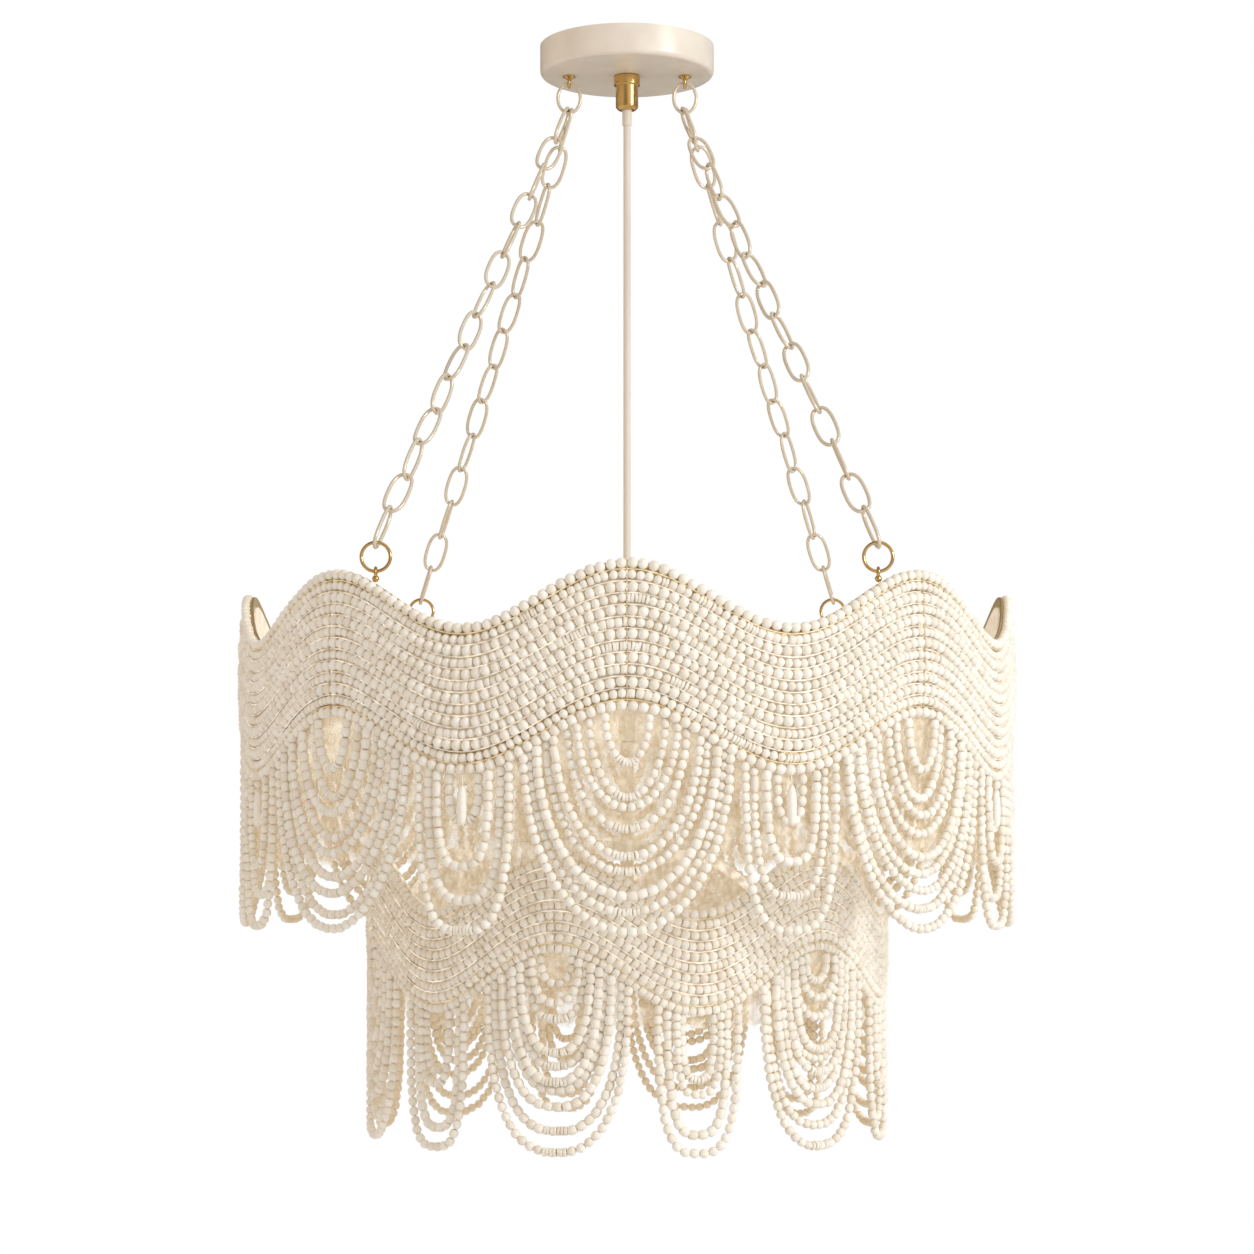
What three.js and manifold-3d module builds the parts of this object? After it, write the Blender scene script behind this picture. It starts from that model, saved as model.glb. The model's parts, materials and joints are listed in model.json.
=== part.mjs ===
// Beaded chandelier: two wavy tiers of bead rows with looped fringes, hung by four chains
// from a ceiling canopy, with a lamp cluster on a stem inside.
// Millimetres, +Z up, front towards -Y. The origin is the middle of the bracket's top face,
// on the ceiling. Azimuths are counted from the front, -Y, towards +X.
import * as THREE from "three";
import { mergeVertices } from "three/addons/utils/BufferGeometryUtils.js";
import Module from "manifold-3d";

const wasm = await Module();
wasm.setup();

const degree = Math.PI / 180;
const turn = 2 * Math.PI;

// Play between touching pieces, and how far a cut runs past the face that it opens.
const gap = 0.3;
const overrun = 1;
const mergeShare = 0.001;
const mergeDistance = mergeShare * gap;

// Canopy cup and the bracket inside it.
const canopyRadius = 72;
const canopyHeight = 25;
const canopyWall = 1.2;
const canopyEdgeRadius = 4;
const bracketLength = 120;
const bracketWidth = 22;
const bracketThickness = 2.5;
const boxScrewSpacing = 69.85;
const boxScrewHoleRadius = 2.4;

// Hanger eyes under the canopy, their lock nuts, and the oval rings in them.
const hangerSpacing = 96;
const shankRadius = 2.5;
const shankClearance = 0.3;
const flangeRadius = 5.6;
const flangeThickness = 1.6;
const eyeRadius = 3.6;
const eyeWireRadius = 1.3;
const flangeTipRadius = 2.6;
const hangerNutRadius = 5.5;
const hangerNutThickness = 4;
const topRingHalfWidth = 9.6;
const topRingHalfHeight = 12.5;
const topRingWireRadius = 1.4;

// Cord grip, the swivelling sleeve in its mouth, and the supply cord.
const gripCollarRadius = 10.9;
const gripCollarHeight = 8;
const gripBodyRadius = 9.3;
const gripLength = 29;
const gripEdgeRadius = 2.4;
const gripNeckRadius = 5;
const gripNeckHeight = 8;
const gripNutRadius = 8.5;
const gripNutThickness = 4;
const cordRadius = 3.15;
const cordTopDepth = 12;
const cordPlay = 0.65;
const sleeveBallRadius = 4.6;
const sleeveBallInset = 4;
const sleeveRadius = 3.95;
const sleeveLength = 17;

// Chains: the number of links and their wire.
const linkCount = 14;
const linkWireRadius = 1.4;
const linkHalfWidth = 8;
const linkBite = 0.6;
const topRingPlay = 0.65;
const linkArcSteps = 3;

// Rings at the lower ends of the chains, and the lugs that hold them on the rim.
const lowerRingRadius = 10.75;
const lowerRingWireRadius = 1.25;
const lugAzimuth = 37.5 * degree;
const lugBallRadius = 2.6;
const lugEyeRadius = 3.2;
const lugEyeWireRadius = 1.1;
const lugEyeSink = 0.6;

// Bead rows. Heights are below the ceiling and belong to the wave's middle level.
const beadRadius = 4;
const stepsPerWave = 6;
const upperTier = {
  radius: 312,
  bulge: 2.5,
  rows: 13,
  rowPitch: 8.5,
  topRowDepth: 484,
  waves: 8,
  waveHeight: 22.5,
  firstCrest: 0,
  sectorStart: -15 * degree,
  linerSkirt: 103,
};
const tierDrop = 206;
const lowerTier = {
  radius: 208.5,
  bulge: 1.5,
  rows: 10,
  rowPitch: 8,
  topRowDepth: upperTier.topRowDepth + tierDrop,
  waves: 6,
  waveHeight: 23.5,
  firstCrest: -15 * degree,
  sectorStart: -32 * degree,
  linerSkirt: 42,
};

// Sheet frame behind the bead rows, with its rails and ribs, and the liner inside it, whose
// skirt hangs behind the fringe.
const railThickness = 2.2;
const railHeight = 10;
const railAboveRow = 2.5;
const ribWidth = 6;
const ribThickness = 1.6;
const ribRailOverlap = 2;
const linerThickness = 1.5;
const linerBelowRail = 8.5;

// Fringe loops: nested strands from an inner to an outer one. Widths are shares of a wave's
// length. The inner drop is below the loop's own ends and the outer one below the header's
// middle level. A wave share of 0 is the crest and one of a half is the trough. A fullness of 2
// gives half ellipses, and a higher one squarer loops.
const strandWidth = 6.8;
const fringeThickness = 7.2;
const headerFoot = 3.2;
const strandSteps = 6;
const upperCrestLoops = {
  waveShare: 0,
  loops: 5,
  fullness: 2,
  widthShares: [0.15, 0.6],
  innerDrop: 42,
  outerDrop: 138,
};
const upperTroughLoops = {
  waveShare: 0.5,
  loops: 3,
  fullness: 3.2,
  widthShares: [0.124, 0.28],
  innerDrop: 66,
  outerDrop: 136,
  hasDropBead: true,
};
const lowerCrestLoops = {
  waveShare: 0,
  loops: 5,
  fullness: 2.5,
  widthShares: [0.17, 0.5],
  innerDrop: 34,
  outerDrop: 127,
};
const lowerTroughLoops = {
  waveShare: 0.5,
  loops: 2,
  fullness: 3.2,
  widthShares: [0.148, 0.275],
  innerDrop: 70,
  outerDrop: 129,
};

// Drop bead on a thread in the smallest loop under each upper trough. The shares say how far
// down the bead its full width starts and ends.
const dropBeadWidth = 7.2;
const dropBeadLength = 30;
const dropThreadWidth = 2.2;
const dropThreadLength = 6;
const dropWidthShares = [0.2, 0.82];

// Stem in the middle: an upper tube, a thinner tube below it, and what they carry.
const upperHubDrop = 21;
const upperHubDepth = upperTier.topRowDepth + upperHubDrop;
const hubRadius = 16;
const hubThickness = 8;
const spiderRodRadius = 2.5;
const rodPadRadius = 6;
const rodPadThickness = 2;
const upperRodCount = 4;
const lowerRodCount = 3;
const upperStemRadius = 7;
const upperStemBore = 4.5;
const upperStemRise = 8;
const upperStemDrop = 72;
const stemJointDepth = upperHubDepth + upperStemDrop;
const lowerStemRadius = 5.5;
const stemSpigotLength = 12;
const cordEndDrop = 35;
const cordEndDepth = upperHubDepth + cordEndDrop;
const bushRadius = 10;
const bushTopRadius = 6;
const bushFlangeHeight = 6;
const bushHeight = 14;
const lowerHubDrop = 40;
const lowerHubDepth = lowerTier.topRowDepth + lowerHubDrop;
const stemBelowHub = 8;
const collarRadius = 8.5;
const collarThickness = 3;
const finialFlangeRadius = 8.5;
const finialFlangeThickness = 4;
const finialBallRadius = 6.5;
const finialSkin = 2;

// Lamp cluster: hub, arms, lampholders, candle sleeves and bulbs.
const lampCount = 4;
const clusterDrop = 85;
const clusterHubRadius = 18;
const clusterHubThickness = 10;
const lampCircleRadius = 105;
const clusterArmRadius = 2.8;
const cupRadius = 13;
const cupThickness = 6;
const holderRadius = 9.2;
const holderHeight = 44;
const holderBoreDepth = 23;
const candleRadius = 11;
const candleHeight = 48;
const bulbCapRadius = 5.9;
const bulbCapPlay = 0.4;
const bulbRadius = 17.5;
const bulbLength = 92;
const bulbNeckRadius = 7.5;
const bulbNeckHeight = 4;
const bulbHeightShares = [0.12, 0.32, 0.52, 0.72, 0.9];
const bulbRadiusShares = [0.72, 1, 0.92, 0.6, 0.24];

// Sides of the turned pieces, bars and wires, and steps round the rings.
const nutSides = 6;
const barSides = 8;
const coarseSides = 10;
const fineSides = 16;
const canopySides = 36;
const canopyEdgeSteps = 2;
const eyeWireSides = 5;
const ringWireSides = 4;
const ringSteps = 16;
const lugSteps = 8;
const lugBallSides = 6;
const lugBallRows = 4;

const finish = (color, roughness, metalness) =>
  () => new THREE.MeshStandardMaterial({ color, roughness, metalness });
const creamPaint = finish(0xe3d8ca, 0.45, 0.1);
const creamWire = finish(0xe9dcc6, 0.4, 0.3);
const brass = finish(0xc9a35c, 0.28, 1);
const woodBead = finish(0xf2eade, 0.75, 0);
const shadeLiner = finish(0xf4e8d2, 0.8, 0);
const cordCover = finish(0xf1e7da, 0.7, 0);
const candlePaint = finish(0xf2e6d0, 0.6, 0);
const bulbGlass = finish(0xfff6e2, 0.15, 0);
const zincPlate = finish(0xb9b9b5, 0.4, 0.9);

const chandelier = new THREE.Group();

function add(name, geometry, material) {
  const mesh = new THREE.Mesh(geometry, material());
  mesh.name = name;
  chandelier.add(mesh);
  return mesh;
}

// Solids for cuts and joins, from and to three.js geometry.
function solidOf(geometry) {
  const bare = geometry.clone();
  bare.deleteAttribute("normal");
  bare.deleteAttribute("uv");
  const merged = mergeVertices(bare, mergeDistance);
  const vertProperties = Float32Array.from(merged.attributes.position.array);
  const triVerts = Uint32Array.from(merged.index.array);
  return new wasm.Manifold(new wasm.Mesh({ numProp: 3, vertProperties, triVerts }));
}

function geometryOf(solid) {
  const mesh = solid.getMesh();
  const geometry = new THREE.BufferGeometry();
  geometry.setAttribute("position", new THREE.BufferAttribute(mesh.vertProperties, mesh.numProp));
  geometry.setIndex(new THREE.BufferAttribute(mesh.triVerts, 1));
  return geometry;
}

function join(geometries) {
  return geometryOf(geometries.map(solidOf).reduce((whole, piece) => whole.add(piece)));
}

function cut(geometry, tools) {
  const whole = solidOf(geometry);
  return geometryOf(tools.map(solidOf).reduce((left, tool) => left.subtract(tool), whole));
}

// A skin through sections of equally many points: a closed ring, or a run with capped ends.
function loft(sections, closed) {
  const count = sections[0].length;
  const positions = sections.flat().flatMap((point) => [point.x, point.y, point.z]);
  const index = [];
  const spans = closed ? sections.length : sections.length - 1;
  for (let span = 0; span < spans; span += 1) {
    const near = span * count;
    const far = ((span + 1) % sections.length) * count;
    for (let side = 0; side < count; side += 1) {
      const next = (side + 1) % count;
      index.push(near + side, near + next, far + next, near + side, far + next, far + side);
    }
  }
  if (!closed) {
    const last = (sections.length - 1) * count;
    for (let side = 1; side < count - 1; side += 1) {
      index.push(0, side + 1, side, last, last + side, last + side + 1);
    }
  }
  const geometry = new THREE.BufferGeometry();
  geometry.setAttribute("position", new THREE.Float32BufferAttribute(positions, 3));
  geometry.setIndex(volumeOf(positions, index) < 0 ? index.reverse() : index);
  return geometry;
}

function volumeOf(positions, index) {
  const corner = (place) => new THREE.Vector3().fromArray(positions, 3 * index[place]);
  let volume = 0;
  for (let place = 0; place < index.length; place += 3) {
    volume += corner(place).dot(corner(place + 1).cross(corner(place + 2))) / 6;
  }
  return volume;
}

// A turned piece about Z from a profile of [radius, height] pairs. A profile with a bore
// closes on itself.
function turned(profile, sides, bored = false) {
  const points = profile.map(([radius, height]) => new THREE.Vector2(radius, height));
  if (bored) {
    points.push(points[0].clone());
  }
  return closedBody(new THREE.LatheGeometry(points, sides).rotateX(Math.PI / 2));
}

// The same geometry with shared corners and its faces pointing out.
function closedBody(geometry) {
  geometry.deleteAttribute("normal");
  geometry.deleteAttribute("uv");
  const merged = mergeVertices(geometry, mergeDistance);
  const index = withoutSlivers(Array.from(merged.index.array));
  const inward = volumeOf(Array.from(merged.attributes.position.array), index) < 0;
  merged.setIndex(inward ? index.reverse() : index);
  return merged;
}

function withoutSlivers(index) {
  const kept = [];
  for (let place = 0; place < index.length; place += 3) {
    const [a, b, c] = index.slice(place, place + 3);
    if (a !== b && b !== c && c !== a) {
      kept.push(a, b, c);
    }
  }
  return kept;
}

// A round bar with vertical end faces, from one point to another.
function bar(start, end, radius, sides) {
  const outward = end.clone().sub(start).setZ(0).normalize();
  const across = new THREE.Vector3(-outward.y, outward.x, 0);
  const section = (centre) => Array.from({ length: sides }, (_, side) => {
    const angle = turn * (side + 0.5) / sides;
    return centre.clone().addScaledVector(across, radius * Math.cos(angle))
      .add(new THREE.Vector3(0, 0, radius * Math.sin(angle)));
  });
  return loft([section(start), section(end)], false);
}

function pillar(radius, low, high, sides, x = 0, y = 0) {
  const height = high - low;
  return new THREE.CylinderGeometry(radius, radius, height, sides).rotateX(Math.PI / 2)
    .translate(x, y, low + height / 2);
}

const atAzimuth = (radius, azimuth, z) =>
  new THREE.Vector3(radius * Math.sin(azimuth), -radius * Math.cos(azimuth), z);

// Canopy, bracket and hanger eyes.
const hangerX = hangerSpacing / 2;
const canopyFloor = -canopyHeight;
const flangeTop = canopyFloor - gap;
const shankHoleRadius = shankRadius + shankClearance;

function canopyCup() {
  const holeRadius = gripNeckRadius + gap;
  const innerEdge = canopyEdgeRadius - canopyWall;
  const arc = (radius, start, end) => Array.from({ length: canopyEdgeSteps + 1 }, (_, step) => {
    const angle = start + (end - start) * step / canopyEdgeSteps;
    return [
      canopyRadius - canopyEdgeRadius + radius * Math.cos(angle),
      canopyFloor + canopyEdgeRadius + radius * Math.sin(angle),
    ];
  });
  const profile = [
    [holeRadius, canopyFloor],
    ...arc(canopyEdgeRadius, -Math.PI / 2, 0),
    [canopyRadius, 0],
    [canopyRadius - canopyWall, 0],
    ...arc(innerEdge, 0, -Math.PI / 2),
    [holeRadius, canopyFloor + canopyWall],
  ];
  const holeTop = canopyFloor + canopyWall + overrun;
  const holes = [-hangerX, hangerX].map((x) =>
    pillar(shankHoleRadius, canopyFloor - overrun, holeTop, coarseSides, x));
  return cut(turned(profile, canopySides, true), holes);
}

function ceilingBracket() {
  const plate = new THREE.BoxGeometry(bracketLength, bracketWidth, bracketThickness)
    .translate(0, 0, -bracketThickness / 2);
  const hole = (x, radius) => pillar(radius, -bracketThickness - overrun, overrun, coarseSides, x);
  return cut(plate, [
    hole(-hangerX, shankHoleRadius),
    hole(hangerX, shankHoleRadius),
    hole(-boxScrewSpacing / 2, boxScrewHoleRadius),
    hole(boxScrewSpacing / 2, boxScrewHoleRadius),
  ]);
}

// The eye's hole runs along X. The ring's wire lies a play above the bottom of the hole.
const eyeCentreZ = flangeTop - flangeThickness - eyeRadius;
const swingAxisZ = eyeCentreZ - (eyeRadius - eyeWireRadius) + gap + topRingWireRadius;

function hangerEye() {
  const stud = turned([
    [0, flangeTop - flangeThickness - eyeWireRadius],
    [flangeTipRadius, flangeTop - flangeThickness - eyeWireRadius],
    [flangeRadius, flangeTop - flangeThickness / 2],
    [flangeRadius, flangeTop],
    [shankRadius, flangeTop],
    [shankRadius, -gap],
    [0, -gap],
  ], coarseSides);
  const eye = new THREE.TorusGeometry(eyeRadius, eyeWireRadius, eyeWireSides, coarseSides)
    .rotateY(Math.PI / 2).translate(0, 0, eyeCentreZ);
  return join([stud, eye]);
}

function nut(radius, thickness, boreRadius, topZ) {
  return cut(pillar(radius, topZ - thickness, topZ, nutSides), [
    pillar(boreRadius, topZ - thickness - overrun, topZ + overrun, coarseSides),
  ]);
}

const topRingCentreZ = swingAxisZ - topRingHalfHeight;

// A wire ring in the XZ plane.
const wireRing = (radius, wireRadius, sides) =>
  new THREE.TorusGeometry(radius, wireRadius, sides, ringSteps)
    .rotateX(Math.PI / 2).rotateY(Math.PI / 2);
const topRing = () => wireRing(topRingHalfHeight, topRingWireRadius, eyeWireSides)
  .scale(topRingHalfWidth / topRingHalfHeight, 1, 1);

add("ceiling_bracket", ceilingBracket(), zincPlate);
add("canopy", canopyCup(), creamPaint);
const lockNut = () =>
  nut(hangerNutRadius, hangerNutThickness, shankHoleRadius, -bracketThickness - gap);
for (const [side, x] of [["left", -hangerX], ["right", hangerX]]) {
  add(`${side}_hanger_eye`, hangerEye(), brass).position.x = x;
  add(`${side}_lock_nut`, lockNut(), zincPlate).position.x = x;
  add(`${side}_top_ring`, topRing(), creamWire).position.set(x, 0, topRingCentreZ);
}

// Cord grip, sleeve and cord. The sleeve's ball turns in the grip's mouth.
const gripFoot = flangeTop - gripLength + gap;
const sleevePivotZ = gripFoot + sleeveBallInset;
const sleeveFoot = sleevePivotZ - sleeveLength;
const cordBore = cordRadius + gap;

function cordGrip() {
  const mouthRadius = sleeveBallRadius + gap;
  const mouthTop = sleevePivotZ + sleeveBallRadius + gap;
  return turned([
    [mouthRadius, gripFoot],
    [gripBodyRadius - gripEdgeRadius, gripFoot],
    [gripBodyRadius, gripFoot + gripEdgeRadius],
    [gripBodyRadius, flangeTop - gripCollarHeight],
    [gripCollarRadius, flangeTop - gripCollarHeight],
    [gripCollarRadius, flangeTop],
    [gripNeckRadius, flangeTop],
    [gripNeckRadius, flangeTop + gripNeckHeight],
    [cordBore, flangeTop + gripNeckHeight],
    [cordBore, mouthTop],
    [mouthRadius, mouthTop],
  ], fineSides, true);
}

function cordSleeve() {
  const ball = (angle) => [
    sleeveBallRadius * Math.cos(angle),
    sleevePivotZ + sleeveBallRadius * Math.sin(angle),
  ];
  const boreAngle = Math.acos(cordBore / sleeveBallRadius);
  const skirtAngle = -Math.acos(sleeveRadius / sleeveBallRadius);
  return turned([
    [cordBore, sleeveFoot],
    [sleeveRadius, sleeveFoot],
    ball(skirtAngle),
    ball(0),
    ball(boreAngle),
  ], coarseSides, true);
}

const supplyCord = () => pillar(cordRadius, -cordEndDepth, -cordTopDepth, coarseSides);
const gripNutTop = canopyFloor + canopyWall + gap + gripNutThickness;
const gripNut = () => nut(gripNutRadius, gripNutThickness, gripNeckRadius + gap, gripNutTop);

add("cord_grip", cordGrip(), brass);
add("cord_grip_nut", gripNut(), zincPlate);
add("cord_sleeve", cordSleeve(), cordCover);
add("supply_cord", supplyCord(), cordCover);

// Bead walls. Each tier's wall is faceted between steps of its wave, and everything on it
// shares those facets.
const stepOf = (tier) => turn / (tier.waves * stepsPerWave);

function wallCorner(tier, radius, height, step) {
  const azimuth = tier.firstCrest + step * stepOf(tier);
  const wave = tier.waveHeight * Math.cos(tier.waves * step * stepOf(tier));
  return atAzimuth(radius, azimuth, height + wave);
}

function wallPoint(tier, radius, height, azimuth) {
  const place = (azimuth - tier.firstCrest) / stepOf(tier);
  const before = Math.floor(place);
  return wallCorner(tier, radius, height, before)
    .lerp(wallCorner(tier, radius, height, before + 1), place - before);
}

function wavyRing(tier, profile) {
  const steps = tier.waves * stepsPerWave;
  return loft(Array.from({ length: steps }, (_, step) =>
    profile.map(([radius, height]) => wallCorner(tier, radius, height, step))), true);
}

function rowRadius(tier, row) {
  const fromMiddle = 2 * row / (tier.rows - 1) - 1;
  return tier.radius - tier.bulge * fromMiddle * fromMiddle;
}

const rowHeight = (tier, row) => -tier.topRowDepth - row * tier.rowPitch;
const headerRow = (tier) => tier.rows - 1;
const bandFoot = (tier) => rowHeight(tier, headerRow(tier)) + beadRadius + gap;
const bandInside = (tier) => tier.radius - tier.bulge - beadRadius;
const frameOutside = (tier) => bandInside(tier) - gap;
const frameInside = (tier) => frameOutside(tier) - railThickness;
const linerOutside = (tier) => frameInside(tier) - gap;
const linerInside = (tier) => linerOutside(tier) - linerThickness;
const railTop = (tier) => rowHeight(tier, 0) + railAboveRow;
const linerTop = (tier) => railTop(tier) - linerBelowRail;

// All bead rows but the last, which carries the fringe, as one barrel-shaped wall. Each row
// stands out as a rib, and between two rows the wall is drawn in to the middle of the beads.
function beadBand(tier) {
  const inside = bandInside(tier);
  const lastRow = headerRow(tier) - 1;
  const crest = (row) => [rowRadius(tier, row) + beadRadius, rowHeight(tier, row)];
  const valley = (row) => [rowRadius(tier, row), rowHeight(tier, row) - tier.rowPitch / 2];
  return wavyRing(tier, [
    [inside, railTop(tier)],
    [rowRadius(tier, 0), rowHeight(tier, 0) + beadRadius],
    ...Array.from({ length: lastRow }, (_, row) => [crest(row), valley(row)]).flat(),
    crest(lastRow),
    [rowRadius(tier, lastRow), bandFoot(tier)],
    [inside, bandFoot(tier)],
  ]);
}

function frame(tier) {
  const inside = frameInside(tier);
  const outside = frameOutside(tier);
  const rail = (top) => wavyRing(tier, [
    [inside, top],
    [outside, top],
    [outside, top - railHeight],
    [inside, top - railHeight],
  ]);
  const footRailTop = bandFoot(tier) + railHeight;
  const ribLow = tier.waveHeight + footRailTop - ribRailOverlap;
  const ribHigh = tier.waveHeight + railTop(tier) - railHeight + ribRailOverlap;
  const ribs = Array.from({ length: tier.waves }, (_, wave) =>
    new THREE.BoxGeometry(ribWidth, ribThickness, ribHigh - ribLow)
      .translate(0, -(inside + outside) / 2, (ribLow + ribHigh) / 2)
      .rotateZ(tier.firstCrest + turn * wave / tier.waves));
  return join([rail(railTop(tier)), rail(footRailTop), ...ribs]);
}

// The liner's top edge follows the wave and its foot is level.
function liner(tier) {
  const outside = linerOutside(tier);
  const inside = linerInside(tier);
  const foot = bandFoot(tier) - tier.linerSkirt;
  return loft(Array.from({ length: tier.waves * stepsPerWave }, (_, step) => [
    wallCorner(tier, inside, linerTop(tier), step),
    wallCorner(tier, outside, linerTop(tier), step),
    wallCorner(tier, outside, foot, step).setZ(foot),
    wallCorner(tier, inside, foot, step).setZ(foot),
  ]), true);
}

// The fringe of one wave is drawn flat, as length along the round and height, and then bent
// round the tier. Its strands are nested curves that hang from the header row.
const headerRadius = (tier) => rowRadius(tier, headerRow(tier));

function headerHeight(tier, x) {
  const radius = headerRadius(tier);
  return wallPoint(tier, radius, rowHeight(tier, headerRow(tier)), x / radius).z;
}

// Points along the header between two places, with the wave's corners between them.
function headerLine(tier, from, to, rise) {
  const radius = headerRadius(tier);
  const step = stepOf(tier) * radius;
  const origin = tier.firstCrest * radius;
  const places = [from];
  for (let corner = Math.floor((from - origin) / step) + 1; origin + corner * step < to; corner += 1) {
    places.push(origin + corner * step);
  }
  places.push(to);
  return places.map((x) => new THREE.Vector2(x, headerHeight(tier, x) + rise));
}

const between = ([inner, outer], share) => inner + (outer - inner) * share;

function loopsOf(tier, group) {
  const waveLength = headerRadius(tier) * turn / tier.waves;
  const centre = headerRadius(tier) * tier.firstCrest + group.waveShare * waveLength;
  const innerWidth = between(group.widthShares, 0) * waveLength;
  const depths = [
    group.innerDrop - headerHeight(tier, centre + innerWidth / 2),
    group.outerDrop - rowHeight(tier, headerRow(tier)),
  ];
  return Array.from({ length: group.loops }, (_, loop) => {
    const share = loop / (group.loops - 1);
    const width = between(group.widthShares, share) * waveLength;
    const endZ = headerHeight(tier, centre + width / 2);
    return { centre, width, endZ, drop: endZ + between(depths, share), fullness: group.fullness };
  });
}

// One edge of a strand, set out from its middle line.
function strandEdge(loop, outset) {
  const halfWidth = loop.width / 2 + outset;
  const curve = Array.from({ length: strandSteps - 1 }, (_, place) => {
    const sweep = Math.PI * ((place + 1) / strandSteps - 0.5);
    const reach = Math.abs(Math.sin(sweep)) ** (2 / loop.fullness);
    const fall = Math.cos(sweep) ** (2 / loop.fullness);
    return new THREE.Vector2(
      loop.centre + Math.sign(sweep) * halfWidth * reach,
      loop.endZ - (loop.drop + outset) * fall,
    );
  });
  return { from: loop.centre - halfWidth, to: loop.centre + halfWidth, curve };
}

// The header's lower edge between two places, with what hangs between them followed round.
function edgeRound(tier, from, to, hanging) {
  return [
    ...headerLine(tier, from, hanging.from, -headerFoot),
    ...hanging.curve,
    ...headerLine(tier, hanging.to, to, -headerFoot),
  ];
}

function dropBeadEdge(tier, centre) {
  const top = headerHeight(tier, centre) - headerFoot - dropThreadLength;
  const halfThread = dropThreadWidth / 2;
  const side = [
    [halfThread, top],
    ...dropWidthShares.map((share) => [dropBeadWidth / 2, top - share * dropBeadLength]),
    [halfThread, top - dropBeadLength],
  ];
  const left = side.map(([x, z]) => new THREE.Vector2(centre - x, z));
  const right = side.map(([x, z]) => new THREE.Vector2(centre + x, z)).reverse();
  return { from: centre - halfThread, to: centre + halfThread, curve: [...left, ...right] };
}

// The gap inside a loop, below the smaller loop, the drop bead or the bare header.
function loopGap(tier, group, loops, place) {
  const { from, to, curve } = strandEdge(loops[place], -strandWidth / 2);
  const foot = curve.reverse();
  if (place > 0) {
    return [...edgeRound(tier, from, to, strandEdge(loops[place - 1], strandWidth / 2)), ...foot];
  }
  if (group.hasDropBead) {
    return [...edgeRound(tier, from, to, dropBeadEdge(tier, loops[place].centre)), ...foot];
  }
  return [...headerLine(tier, from, to, -headerFoot), ...foot];
}

function fringeSector(tier, groups) {
  const radius = headerRadius(tier);
  const start = tier.sectorStart * radius + gap / 2;
  const end = (tier.sectorStart + turn / tier.waves) * radius - gap / 2;
  const outline = headerLine(tier, start, end, beadRadius).reverse();
  const holes = [];
  let reached = start;
  for (const group of groups) {
    const loops = loopsOf(tier, group);
    holes.push(...loops.map((_, place) => loopGap(tier, group, loops, place)));
    const outside = strandEdge(loops.at(-1), strandWidth / 2);
    outline.push(...headerLine(tier, reached, outside.from, -headerFoot), ...outside.curve);
    reached = outside.to;
  }
  outline.push(...headerLine(tier, reached, end, -headerFoot));
  return bentSheet(outline, holes, radius);
}

// A flat outline with holes, given its thickness and bent round the Z axis.
function bentSheet(outline, holes, radius) {
  const shape = new THREE.Shape(outline);
  shape.holes = holes.map((hole) => new THREE.Path(hole));
  const sheet = new THREE.ExtrudeGeometry(shape, { depth: fringeThickness, bevelEnabled: false });
  const place = sheet.attributes.position;
  for (let vertex = 0; vertex < place.count; vertex += 1) {
    const point = atAzimuth(
      radius - fringeThickness / 2 + place.getZ(vertex),
      place.getX(vertex) / radius,
      place.getY(vertex),
    );
    place.setXYZ(vertex, point.x, point.y, point.z);
  }
  return closedBody(sheet);
}

function addTier(word, tier, groups) {
  add(`${word}_frame`, frame(tier), brass);
  add(`${word}_liner`, liner(tier), shadeLiner);
  add(`${word}_bead_band`, beadBand(tier), woodBead);
  const sector = fringeSector(tier, groups);
  for (let place = 0; place < tier.waves; place += 1) {
    add(`${word}_fringe_${place + 1}`, sector, woodBead).rotation.z = turn * place / tier.waves;
  }
}

addTier("upper", upperTier, [upperCrestLoops, upperTroughLoops]);
addTier("lower", lowerTier, [lowerCrestLoops, lowerTroughLoops]);

// Lugs on the upper rail. Each stands on the rail's slope with its ball, and its eye's hole
// runs along X and holds the ring's wire.
const railMiddle = (frameInside(upperTier) + frameOutside(upperTier)) / 2;
const lugFoot = wallPoint(upperTier, railMiddle, railTop(upperTier), lugAzimuth);
const lugNext = wallPoint(upperTier, railMiddle, railTop(upperTier), lugAzimuth - stepOf(upperTier));
const lugRun = Math.hypot(lugNext.x - lugFoot.x, lugNext.y - lugFoot.y);
const lugSlope = Math.atan(Math.abs(lugNext.z - lugFoot.z) / lugRun);
const lugBallZ = lugFoot.z + (lugBallRadius + gap) / Math.cos(lugSlope);
const lugEyeZ = lugBallZ + lugBallRadius + lugEyeRadius - lugEyeSink;
const lowerRingFootZ = lugEyeZ + lugEyeRadius - lugEyeWireRadius - gap - lowerRingWireRadius;
const lowerRingCentreZ = lowerRingFootZ + lowerRingRadius;

function lug() {
  const ball = new THREE.SphereGeometry(lugBallRadius, lugBallSides, lugBallRows);
  const eye = new THREE.TorusGeometry(lugEyeRadius, lugEyeWireRadius, ringWireSides, lugSteps)
    .rotateY(Math.PI / 2).translate(0, 0, lugEyeZ - lugBallZ);
  return join([ball, eye]);
}

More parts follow.
